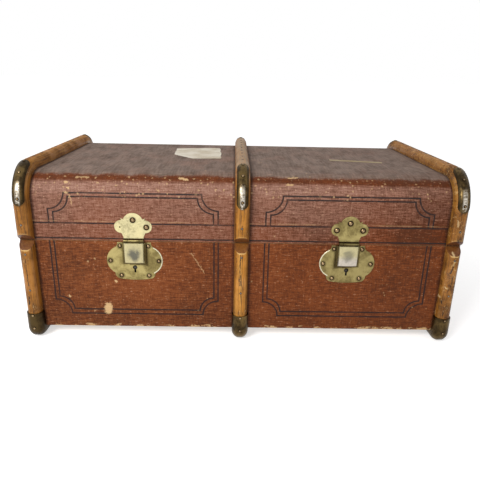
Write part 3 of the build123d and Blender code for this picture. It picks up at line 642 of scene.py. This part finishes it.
# Rivets of the locks, from each lock's middle line: across, level
upperSpots = ((0, 0.246), (0.025, 0.232), (-0.025, 0.232))
lowerSpots = ((0.027, 0.1945), (0.0465, 0.164), (0.0268, 0.1335))
missingSpot = upperSpots[2]     # on the left lock, where only the hole is left
haspLook = {
    "halfWidth": 0.0187,    # of the flap; the levels follow
    "top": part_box("hasp_plate_right")[0].z,
    "pin": centre("hasp_pins").z,
    "low": 0.1606,
    "thumb": 0.18,
    # colours on the locks: the flap's own tones, painted light on the left lock's upper plate, painted shade
    # on the right lock, a thumb mark, and painted highlights on the rims
    "flap": shade(202, 192, 152),
    "flapEnd": shade(196, 188, 184),
    "upperLeft": shade(228, 218, 172),
    "right": shade(96, 84, 54),
    "thumbMark": shade(82, 82, 78),
    "polished": shade(246, 240, 212),
}
lobeLook = {"across": 0.0241, "level": seam - 0.0385, "radius": 0.0287}    # side lobes of the lock plates

# Metals. Each look is a bright, a dull and a tarnish colour
metalLooks = {
    "aged_brass": {"bright": shade(104, 85, 52), "dull": shade(66, 53, 33), "tarnish": shade(34, 27, 18),
                   "spread": 0.6, "rough": 0.34, "rubbed": shade(206, 198, 184)},
    "lock_brass": {"bright": shade(170, 155, 102), "dull": shade(131, 117, 73), "tarnish": shade(62, 50, 28),
                   "spread": 0.3, "rough": 0.34},
    "rivet_brass": {"bright": shade(150, 126, 92), "dull": shade(74, 54, 34), "tarnish": shade(24, 17, 12),
                    "spread": 0.4, "rough": 0.26, "crown": shade(216, 200, 168)},
    "lock_steel": {"bright": shade(150, 146, 138), "dull": shade(104, 98, 90), "tarnish": shade(74, 54, 38),
                   "spread": 0.5, "rough": 0.45, "inside": shade(30, 26, 22)},
    "hinge_steel": {"bright": shade(104, 99, 94), "dull": shade(50, 46, 43), "tarnish": shade(92, 62, 42),
                    "spread": 0.42, "rough": 0.42},
    "nail_steel": {"bright": shade(142, 138, 132), "dull": shade(88, 82, 76), "tarnish": shade(86, 56, 36),
                   "spread": 0.5, "rough": 0.5, "crown": shade(216, 200, 168)},
}


def lockDirtAndLight(finish, color, stain, fine, broad):
    # painted shadow round the hasp and painted shade in its joint, a grey thumb mark on the flap, painted
    # light and shade across the two locks, and painted highlights on the rims
    look, x, z = haspLook, finish.x, finish.z
    wave = (fine - 0.5) * 0.003
    beside = abs(abs(x) - lockPlace)
    inward = lockPlace - abs(x)
    flap = highest(beside - look["halfWidth"], z - look["top"], look["low"] - z)
    # the raised hasp's painted shadow on the plate, widest on the side toward the middle
    haspShadow = (flap + wave - highest(inward, 0.0) * 0.16).rise(0.0055, 0.0012) * (flap > 0.0002)
    onFlap = (flap < 0) * (z < look["top"])
    fromPin = abs(z - look["pin"])
    # painted shade in the hasp's joint
    joint = fromPin.rise(0.0046, 0.0034) * beside.rise(0.024, 0.0215)
    groove = joint * fromPin.rise(0.0012, 0.0026)
    thumb = finish.distance(beside, z, (0, look["thumb"]))
    mark = (thumb + (broad - 0.5) * 0.044 + wave * 2).rise(0.018, 0.003) * onFlap
    rim = abs(flap + 0.0008).rise(0.0008, 0.0003) * 0.7
    above = z > look["pin"] + 0.004
    # pressed rims and side lobes shine on the side toward the middle
    lit = (inward + (z - 0.158 - above * 0.072) * 0.7).rise(-0.004, 0.022)
    lobe = finish.distance(beside, z, (lobeLook["across"], lobeLook["level"]))
    border = abs(lobe - lobeLook["radius"]).rise(0.0015, 0.0007)
    border = border * (beside > 0.036) * (z < seam - 0.01)
    # the right lock painted darker and the left one's upper plate lighter, as painted light falling from the
    # left
    for tone, share in (
            ("flap", onFlap * 0.7),
            ("flapEnd", onFlap * (x > 0) * (z + wave).rise(0.186, 0.17) * 0.7),
            ("upperLeft", (x < 0) * above * 0.62),
            ("right", (x > 0) * (1 - onFlap) * (0.34 - above * 0.2)),
            ("thumbMark", mark * (0.88 - 0.26 * (x > 0))),
            ("polished", highest(finish.polish(), border) * lit * 0.6)):
        color = finish.blend(color, look[tone], share)
    # dirt and painted shade round the rivets, and the empty hole painted dark
    gaps = [finish.distance(beside, z, spot) for spot in lowerSpots + upperSpots if spot[0] >= 0]
    missing = (x < -lockPlace - 0.012) * above
    halo = (lowest(*gaps) + wave).rise(0.0082, 0.0048) * (1 - missing) * 0.5
    hole = finish.distance(x, z, (missingSpot[0] - lockPlace, missingSpot[1]))
    hole = hole.rise(0.0017, 0.0011) * missing
    return color, highest(stain * (1 - onFlap * 0.5), haspShadow * 0.85, groove, rim, halo, hole)


def capWearAndHighlight(finish, color, stain, fine):
    # a cap is rubbed bright with a painted highlight where the bend bulges out, and black along its edges
    beside, outer = slatOffset(finish)
    turned = finish.maths("ARCTAN2", finish.z - bendLevel, abs(finish.y) - bendStart) * (180 / math.pi)
    turned = turned + (fine - 0.5) * 26
    upper = finish.z > bendLevel - 0.02
    window = turned.rise(-4, 3) * turned.rise(34, 22)
    bright = window * (beside + (fine - 0.5) * 0.007).rise(0.0056, 0.0026) * upper
    rim = (beside + (fine - 0.5) * 0.003).rise(0.0068, 0.009) * upper
    # rubbed metal with a painted highlight
    color = finish.blend(color, metalLooks["aged_brass"]["rubbed"],
                         bright * fine.rise(0.4, 0.56, 0.2, 1.0))
    soot = (finish.z < 0.08) * outer * (0.46 - 0.2 * (finish.x > 0))
    return color, highest(stain * (1 - bright), rim * 0.7, soot)


def metalFinish(name, form="plain"):
    # form says what is on the metal: "plain", "head", "lock", "cap" or "works"
    look, finish = metalLooks[name], Finish(name + "." + form, {"Metallic": 1.0})
    broad = finish.noise(finish.place, 42, 4, 0.62, 0.4)
    fine = finish.noise(finish.place, 260, 4, 0.7)
    pits = finish.cells(finish.place, 620)
    scratch = finish.point(finish.x * 1900, finish.y * 500, finish.z * 160)
    scratch = finish.noise(scratch, 1, 2, 0.6, 1.5)
    color = finish.blend(look["bright"], look["dull"], broad.rise(0.36, 0.62))
    stain = (broad * 0.55 + fine * 0.5).rise(0.5, 0.66) * look["spread"]
    if form == "head":
        # a painted highlight on the crown of the head, and tarnish with painted shade round its edge
        polish = finish.polish()
        color = finish.blend(color, look["bright"], polish.rise(0.6, 0.9) * 0.7)
        color = finish.blend(color, look["crown"], polish.rise(0.92, 1.0) * 0.45)
        stain = highest(stain * (1 - polish), polish.rise(0.66, 0.4))
    elif form == "lock":
        color, stain = lockDirtAndLight(finish, color, stain, fine, broad)
    elif form == "cap":
        color, stain = capWearAndHighlight(finish, color, stain, fine)
    elif form == "works":
        # the lock's inside is painted dark behind the keyhole, as shade
        color = finish.blend(color, look["inside"], finish.facing("Y").rise(-0.4, -0.8) * 0.8)
    color = finish.blend(color, look["tarnish"], lowest(stain, 1.0))
    color = finish.blend(color, look["tarnish"], pits.rise(0.16, 0.08) * 0.5)
    rough = (fine * 0.5 + scratch * 0.5).rise(0.35, 0.65, look["rough"] - 0.08, look["rough"] + 0.14)
    height = fine * 0.7 + scratch * 0.3 + pits.rise(0.2, 0.0) * -0.6 + broad * 0.8
    return finish.dress(color=color, roughness=rough + stain * 0.18,
                        normal=finish.bump(height, 0.0003, 0.32))


# Leather of the handles. The sewn seam turns from the straps into the grip at the bend
leatherLook = {
    "tone": shade(70, 40, 24), "light": shade(108, 66, 40), "dark": shade(34, 20, 13),
    "rubbed": shade(146, 98, 62), "thread": shade(168, 142, 104),
    "bend": 0.054, "corner": 0.0265, "radius": 0.02, "pitch": 0.0046,
}


def leatherFinish():
    look, finish = leatherLook, Finish("handle_leather", {"IOR": 1.5})
    y, z = finish.y, finish.z
    broad = finish.noise(finish.place, 30, 4, 0.6)
    fine = finish.noise(finish.place, 200, 5, 0.7)
    pores = finish.cells(finish.place, 900)
    color = finish.blend(look["tone"], look["light"], broad.rise(0.35, 0.65))
    color = finish.blend(color, look["dark"], fine.rise(0.52, 0.7) * 0.7)
    color = finish.blend(color, look["rubbed"], (broad * 0.6 + fine * 0.5).rise(0.62, 0.74) * 0.5)
    # saddle stitches along the underside of the grip and up the straps
    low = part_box("handle_right")[0].z
    reach = finish.distance(highest(abs(y) - look["bend"], 0.0), highest(low + look["corner"] - z, 0.0))
    fromSeam = abs(reach - look["radius"])
    stitch = finish.maths("PINGPONG", y + z, look["pitch"] / 2)
    thread = fromSeam.rise(0.0007, 0.0004) * stitch.rise(0.0005, 0.0008)
    color = finish.blend(color, look["thread"], thread * 0.8)
    groove = fromSeam.rise(0.0014, 0.0007)
    height = pores.rise(0.0, 0.4) * 0.3 + fine * 0.6 - groove * 0.8 + thread * 1.2
    return finish.dress(color=color, roughness=fine.rise(0.3, 0.7, 0.42, 0.66),
                        normal=finish.bump(height, 0.0005, 0.6))


# Printed lining paper: thin stripes on cream, spotted and brown with age
liningLook = {"cream": shade(214, 198, 164), "aged": shade(196, 176, 138), "stripe": shade(112, 122, 128),
              "spot": shade(150, 108, 64), "pitch": 0.009, "halfStripe": 0.001, "between": 0.0045}


def liningFinish():
    look, finish = liningLook, Finish("lining_paper", {"Roughness": 0.86, "IOR": 1.4})
    across = finish.x + (finish.y - finish.x) * (abs(finish.facing("X")) > 0.7)
    broad = finish.noise(finish.place, 6, 5, 0.6)
    fine = finish.noise(finish.place, 160, 3, 0.6)
    repeat = finish.maths("PINGPONG", across, look["pitch"])
    wide = repeat.rise(look["halfStripe"] + 0.0002, look["halfStripe"] - 0.0002)
    stripes = wide + abs(repeat - look["between"]).rise(0.0005, 0.0002) * 0.6
    color = finish.blend(look["cream"], look["aged"], broad.rise(0.4, 0.7))
    color = finish.blend(color, look["stripe"], stripes * fine.rise(0.3, 0.5) * 0.55)
    spots = finish.cells(finish.place, 38).rise(0.1, 0.04) * broad.rise(0.45, 0.55)
    color = finish.blend(color, look["spot"], spots * 0.6)
    return finish.dress(color=color, normal=finish.bump(fine + broad, 0.0003, 0.3))


# Paper left on the lid: corners on its top, seed of the torn edges
scrapLook = {
    "paper": shade(232, 223, 206), "aged": shade(206, 192, 168), "spot": shade(150, 122, 92),
    "strip": shade(146, 124, 84), "seed": 1795578826,
    "scrap_label": ((-0.157, 0.108), (-0.067, 0.124), (-0.05, 0.118), (-0.046, -0.028),
                    (-0.109, -0.0345), (-0.154, 0.02)),
    "scrap_strip": ((0.195, -0.03), (0.306, -0.051), (0.3075, -0.037), (0.1965, -0.013)),
}


def scrapFinish():
    look, finish = scrapLook, Finish("scrap_paper", {"Roughness": 0.82, "IOR": 1.4})
    broad = finish.noise(finish.place, 18, 4, 0.6)
    fine = finish.noise(finish.place, 240, 4, 0.65)
    color = finish.blend(look["paper"], look["aged"], broad.rise(0.38, 0.66))
    color = finish.blend(color, look["spot"], (fine * 0.5 + broad * 0.5).rise(0.56, 0.66) * 0.5)
    color = finish.blend(color, look["strip"], (finish.x > 0.1) * 0.82)
    return finish.dress(color=color, normal=finish.bump(fine + broad, 0.0003, 0.4))


finishes = {
    "hoop": woodFinish("bentwood", "hoop"),
    "post": woodFinish("bentwood", "post"),
    "runner": woodFinish("bentwood", "runner"),
    "board": woodFinish("plywood", "board"),
    "lip": woodFinish("lip_wood", "board"),
    "cap": metalFinish("aged_brass", "cap"),
    "rivet": metalFinish("rivet_brass", "head"),
    "plate": metalFinish("lock_brass", "lock"),
    "lockSteel": metalFinish("lock_steel", "works"),
    "steel": metalFinish("hinge_steel"),
    "nail": metalFinish("nail_steel", "head"),
    "leather": leatherFinish(),
    "lining": liningFinish(),
    "scrap": scrapFinish(),
}
for node in frame["nodes"]:
    if node.endswith("_board"):
        coat(node, finishes["board"])
for node in ("base_lining", "lid_lining"):
    coat(node, finishes["lining"])
for node in ("lock_case_left", "lock_case_right", "lock_bolt_left", "lock_bolt_right", "hasp_pins"):
    coat(node, finishes["lockSteel"])
coat("hinge_pins", finishes["steel"])
print("trunk: finishes made")


def asMesh(name, shape):
    mesh = bpy.data.meshes.new(name)
    shape.to_mesh(mesh)
    shape.free()
    return mesh


def addPiece(name, shape, material, body):
    piece = intoScene(name, asMesh(name, shape))
    piece.data.materials.append(material)
    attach(piece, body)
    return piece


def pressRim(shape, level, width, drop, shine):
    # bends the border of a plate's front face back, and marks where it gets a painted highlight
    polish = shape.verts.layers.float.new("polish")
    front = [face for face in shape.faces
             if face.normal.y < -0.99 and abs(face.calc_center_median().y - level) < 0.0002]
    outer = {vert for face in front for vert in face.verts}
    bmesh.ops.inset_region(shape, faces=front, thickness=width, use_boundary=True, use_even_offset=True)
    inner = {vert for face in front for vert in face.verts}
    bmesh.ops.inset_region(shape, faces=front, thickness=shine, use_boundary=True, use_even_offset=True)
    flat = {vert for face in front for vert in face.verts}
    for vert in outer - inner:
        vert.co.y += drop
        vert[polish] = 1.0
    for vert in inner - flat:
        vert[polish] = 0.8


def soften(node, material, edge, steps=2, rim=None):
    # a merged copy of a CAD node with its sharp edges rounded by hand wear
    shape = bmesh.new()
    item = frame["nodes"][node]
    shape.from_mesh(item.data)
    bmesh.ops.transform(shape, matrix=item.matrix_world, verts=shape.verts)
    bmesh.ops.remove_doubles(shape, verts=shape.verts, dist=0.000004)
    bmesh.ops.dissolve_limit(shape, angle_limit=math.radians(1.2), verts=shape.verts,
                             edges=shape.edges, delimit={"NORMAL"})
    bmesh.ops.recalc_face_normals(shape, faces=shape.faces)
    if rim:
        pressRim(shape, **rim)
    for face in shape.faces:
        face.smooth = True
    piece = addPiece(node + ".worn", shape, material, body_of(item)[0])
    piece.data.set_sharp_from_angle(angle=math.radians(30))
    bevel = piece.modifiers.new("edges", "BEVEL")
    bevel.width, bevel.segments = edge, steps
    bevel.limit_method, bevel.angle_limit = "ANGLE", math.radians(30)
    bevel.harden_normals = True
    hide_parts(node)


# How far edges are worn round, and the pressed rim of the hasp plates
edgeLook = {"wood": 0.0007, "cap": 0.0003, "lockPlate": 0.00028, "haspPlate": 0.0002, "hasp": 0.0003,
            "leather": 0.0006, "steel": 0.0002, "lip": 0.0006}
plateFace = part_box("hasp_plate_left")[1].y - 0.0012
rimLook = {"level": plateFace, "width": 0.001, "drop": 0.0006, "shine": 0.0014}
for place in places:
    for node, run in (("lid_slat_", "hoop"), ("base_front_slat_", "post"), ("base_back_slat_", "post"),
                      ("bottom_runner_", "runner")):
        soften(node + place, finishes[run], edgeLook["wood"])
    for node in (f"front_foot_cap_{place}", f"front_corner_cap_{place}"):
        soften(node, finishes["cap"], edgeLook["cap"], 1)
for node in ("back_foot_caps", "back_corner_caps"):
    soften(node, finishes["cap"], edgeLook["cap"], 1)
for side in sides:
    soften(f"lock_plate_{side}", finishes["plate"], edgeLook["lockPlate"])
    soften(f"hasp_plate_{side}", finishes["plate"], edgeLook["haspPlate"], rim=rimLook)
    soften(f"hasp_{side}", finishes["plate"], edgeLook["hasp"])
    soften(f"handle_brackets_{side}", finishes["cap"], edgeLook["cap"])
    soften(f"handle_{side}", finishes["leather"], edgeLook["leather"])
    for node in (f"stay_lower_bar_{side}", f"stay_upper_bar_{side}"):
        soften(node, finishes["steel"], edgeLook["steel"])
for node in ("stay_base_plates", "stay_lid_plates", "hinge_base_leaves", "hinge_lid_leaves"):
    soften(node, finishes["steel"], edgeLook["steel"])
for node in ("rim_lip_front", "rim_lip_ends"):
    soften(node, finishes["lip"], edgeLook["lip"])
print("trunk: worn edges made")


def spunHead(profile, steps):
    # a nail or rivet head spun round its own Z from points given as radius and height
    shape = bmesh.new()
    chain = bmesh.ops.create_vert(shape, co=(profile[0][0], 0, profile[0][1]))["vert"]
    edges = []
    for radius, height in profile[1:]:
        grown = bmesh.ops.extrude_vert_indiv(shape, verts=[chain[-1]])
        grown["verts"][0].co = (radius, 0, height)
        chain.append(grown["verts"][0])
        edges += grown["edges"]
    bmesh.ops.spin(shape, geom=chain + edges, cent=(0, 0, 0), axis=(0, 0, 1),
                   angle=2 * math.pi, steps=steps, use_merge=True)
    bmesh.ops.remove_doubles(shape, verts=shape.verts, dist=0.000001)
    bmesh.ops.recalc_face_normals(shape, faces=shape.faces)
    # the crown gets the most painted highlight, the edge of the head painted shade
    polish = shape.verts.layers.float.new("polish")
    wide = max(radius for radius, height in profile)
    for vert in shape.verts:
        away = math.hypot(vert.co.x, vert.co.y) / wide
        vert[polish] = 1 - away ** 2 if away < 0.97 else 0.5
    for face in shape.faces:
        face.smooth = True
    return asMesh("head", shape)


def nailHead(look, *points):
    # the points above the wood are shares of the nail's radius and height
    wide, high, sunk = look["radius"], look["height"], look["sunk"]
    above = [(wide * across, high * up) for across, up in points]
    return spunHead([(0, -sunk), (wide, -sunk)] + above, look["steps"])


def scatter(name, mesh, spots, material, body):
    # copies of one small mesh in one piece; each spot is a place and the way it faces
    shape = bmesh.new()
    dice = random.Random(name)
    for place, facing in spots:
        count = len(shape.verts)
        shape.from_mesh(mesh)
        shape.verts.ensure_lookup_table()
        spin = Matrix.Rotation(dice.uniform(0, 6.28), 4, "Z")
        aim = Vector(facing).to_track_quat("Z", "Y").to_matrix().to_4x4()
        bmesh.ops.transform(shape, matrix=Matrix.Translation(place) @ aim @ spin,
                            verts=shape.verts[count:])
    addPiece(name, shape, material, body)


# Nails in the slats: heads only, and how far they go into the wood
nailLook = {"radius": 0.0023, "height": 0.001, "sunk": 0.0004, "steps": 12,
            "lid": (0.2381,), "base": (0.1799, 0.1056), "runner": (-0.13, 0.0, 0.13),
            "top": (-0.145, -0.105, -0.065, -0.025, 0.015, 0.055, 0.095, 0.135)}
nailMesh = nailHead(nailLook, (1, 0.25), (0.72, 0.8), (0, 1))
slatPlaces = [centre(f"lid_slat_{place}").x for place in places]
lidFace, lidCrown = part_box("lid_slat_middle")[1].y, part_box("lid_slat_middle")[1].z
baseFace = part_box("base_back_slat_middle")[1].y
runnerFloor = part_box("bottom_runner_middle")[0].z
lidNails, baseNails = [], []
for x in slatPlaces:
    for face in (-1, 1):
        lidNails += [((x, face * lidFace, z), (0, face, 0)) for z in nailLook["lid"]]
        baseNails += [((x, face * baseFace, z), (0, face, 0)) for z in nailLook["base"]]
    lidNails += [((x, y, lidCrown), (0, 0, 1)) for y in nailLook["top"]]
    baseNails += [((x, y, runnerFloor), (0, 0, -1)) for y in nailLook["runner"]]
scatter("lid_slat_nails", nailMesh, lidNails, finishes["nail"], "lid")
scatter("base_slat_nails", nailMesh, baseNails, finishes["nail"], "trunk_base")

# Round nails in the caps: degrees round the bend, and levels on the feet
capNailLook = {"radius": 0.0032, "height": 0.0013, "sunk": 0.0004, "steps": 14,
               "angles": (5.7, 46.7, 72.0), "feet": (0.0523, 0.0241)}
capNailMesh = nailHead(capNailLook, (1, 0), (0.85, 0.6), (0.45, 0.95), (0, 1))
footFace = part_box("front_foot_cap_middle")[0].y
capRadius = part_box("back_corner_caps")[1].y - bendStart
cornerNails, footNails = [], []
for x in slatPlaces:
    for face in (-1, 1):
        for angle in capNailLook["angles"]:
            out = Vector((0, face * math.cos(math.radians(angle)), math.sin(math.radians(angle))))
            cornerNails.append((Vector((x, face * bendStart, bendLevel)) + out * capRadius, out))
        footNails += [((x, -face * footFace, z), (0, face, 0)) for z in capNailLook["feet"]]
scatter("corner_cap_nails", capNailMesh, cornerNails, finishes["rivet"], "lid")
scatter("foot_cap_nails", capNailMesh, footNails, finishes["rivet"], "trunk_base")

# Rivets of the locks, each with a ring and a dark groove round its dome: radius, height
rivetLook = {"large": (0.0056, 0.0022), "small": (0.0043, 0.0018), "steps": 20}


def rivetMesh(radius, height):
    return spunHead([(0, -0.0002), (radius, -0.0002), (radius, 0.0003), (radius * 0.86, 0.0006),
                     (radius * 0.74, 0.0002), (radius * 0.66, 0.0004), (radius * 0.52, height * 0.66),
                     (radius * 0.28, height * 0.94), (0, height)], rivetLook["steps"])


largeRivet, smallRivet = rivetMesh(*rivetLook["large"]), rivetMesh(*rivetLook["small"])
for side, sign in sides.items():
    middle = sign * lockPlace
    upper = [((middle + across, plateFace, level), (0, -1, 0)) for across, level in upperSpots
             if side == "right" or (across, level) != missingSpot]
    lower = [((middle + across * flip, plateFace, level), (0, -1, 0)) for across, level in lowerSpots
             for flip in (-1, 1)]
    scatter(f"hasp_plate_rivets_{side}", largeRivet, upper, finishes["rivet"], "lid")
    scatter(f"lock_plate_rivets_{side}", smallRivet, lower, finishes["rivet"], "trunk_base")

# Plain rivets: on the hinges at the back across and away from the pin, and on the handle brackets
plainRivet = spunHead([(0, -0.0003), (0.003, -0.0003), (0.003, 0.0003), (0.0022, 0.0011),
                       (0.001, 0.0014), (0, 0.0015)], 14)
hingeLook = {"halfLeaf": 0.031, "out": 0.0014,
             "spots": ((0.024, 0.031), (-0.024, 0.031), (0, 0.031), (0.024, 0.013), (-0.024, 0.013))}
hingeLevel = centre("hinge_pins").z
for body, node, way in (("trunk_base", "hinge_base_leaves", -1), ("lid", "hinge_lid_leaves", 1)):
    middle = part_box(node)[1].x - hingeLook["halfLeaf"]
    spots = [((sign * middle + across, halfDepth + hingeLook["out"], hingeLevel + way * away), (0, 1, 0))
             for sign in sides.values() for across, away in hingeLook["spots"]]
    scatter(node + "_rivets", plainRivet, spots, finishes["nail"], body)
bracketLook = {"out": 0.0015, "across": 0.07, "rise": 0.017}
for side, sign in sides.items():
    level = centre(f"handle_brackets_{side}").z
    spots = [((sign * (halfLength + bracketLook["out"]), y, level + rise), (sign, 0, 0))
             for y in (-bracketLook["across"], bracketLook["across"])
             for rise in (-bracketLook["rise"], bracketLook["rise"])]
    scatter(f"bracket_rivets_{side}", plainRivet, spots, finishes["rivet"], "trunk_base")
print("trunk: nails and rivets made")


def makeScrap(name, corners):
    # a flat sheet with torn edges, stuck down
    shape = bmesh.new()
    verts = [bmesh.ops.create_vert(shape, co=(x, y, lidTop + 0.00025))["vert"][0] for x, y in corners]
    edges = bmesh.ops.contextual_create(shape, geom=verts)["faces"][0].edges[:]
    bmesh.ops.subdivide_edges(shape, edges=edges, cuts=14)
    for vert in shape.verts:
        jag = noise.noise_vector(vert.co * 160) * 0.0016 + noise.noise_vector(vert.co * 45) * 0.0022
        vert.co += Vector((jag.x, jag.y, 0))
    bmesh.ops.solidify(shape, geom=shape.faces[:], thickness=0.0002)
    bmesh.ops.recalc_face_normals(shape, faces=shape.faces)
    addPiece(name, shape, finishes["scrap"], "lid")


# without a seed the noise takes one from the clock
noise.seed_set(scrapLook["seed"])
for name in ("scrap_label", "scrap_strip"):
    makeScrap(name, scrapLook[name])
print("trunk: paper scraps made")

# Floor, world and lamp
roomLook = {"sky": 0.52, "floorSize": 30, "floorTone": 0.86, "floorRough": 0.9, "floorShine": 0.1,
            "floorGlow": 0.56, "keyEnergy": 42, "keySize": 0.8, "keyPlace": (-1.2, -1.9, 1.7),
            "keyAim": (0, 0, 0.15)}


def makeFloor():
    shape = bmesh.new()
    bmesh.ops.create_grid(shape, x_segments=1, y_segments=1, size=roomLook["floorSize"])
    floor = intoScene("floor", asMesh("floor", shape))
    material = bpy.data.materials.new("floor")
    material.use_nodes = True
    nodes = Nodes(material.node_tree)
    shader = nodes.tree.nodes["Principled BSDF"]
    tone = roomLook["floorTone"]
    nodes.feed(shader.inputs["Base Color"], (tone, tone, tone, 1))
    nodes.feed(shader.inputs["Roughness"], roomLook["floorRough"])
    nodes.feed(shader.inputs["Specular IOR Level"], roomLook["floorShine"])
    # white where it is seen directly, with the object's shadow kept
    plain = Signal(nodes, shader.outputs[0])
    glow = nodes.add("Emission", None, {"Strength": roomLook["floorGlow"]})
    white = nodes.add("AddShader", None, {0: plain, 1: glow})
    seen = nodes.add("MixShader", None, {0: nodes.whiteRays(), 1: plain, 2: white})
    nodes.feed(nodes.tree.nodes["Material Output"].inputs["Surface"], seen)
    floor.data.materials.append(material)


def makeWorld():
    world = bpy.data.worlds.new("world")
    bpy.context.scene.world = world
    world.use_nodes = True
    nodes = Nodes(world.node_tree)
    background = nodes.tree.nodes["Background"]
    nodes.feed(background.inputs["Color"], (1, 1, 1, 1))
    strength = nodes.add("MapRange", None, {0: nodes.whiteRays(), 3: roomLook["sky"], 4: 1.0})
    nodes.feed(background.inputs["Strength"], strength)


def makeLamp(name, energy, size, place, aim):
    lamp = intoScene(name, bpy.data.lights.new(name, "AREA"))
    lamp.data.energy, lamp.data.size = energy, size
    lamp.location = place
    lamp.rotation_euler = (Vector(aim) - Vector(place)).to_track_quat("-Z", "Y").to_euler()


makeFloor()
makeWorld()
makeLamp("key", roomLook["keyEnergy"], roomLook["keySize"], roomLook["keyPlace"], roomLook["keyAim"])
bpy.context.scene.view_settings.view_transform = "Standard"
print("trunk: room lit")
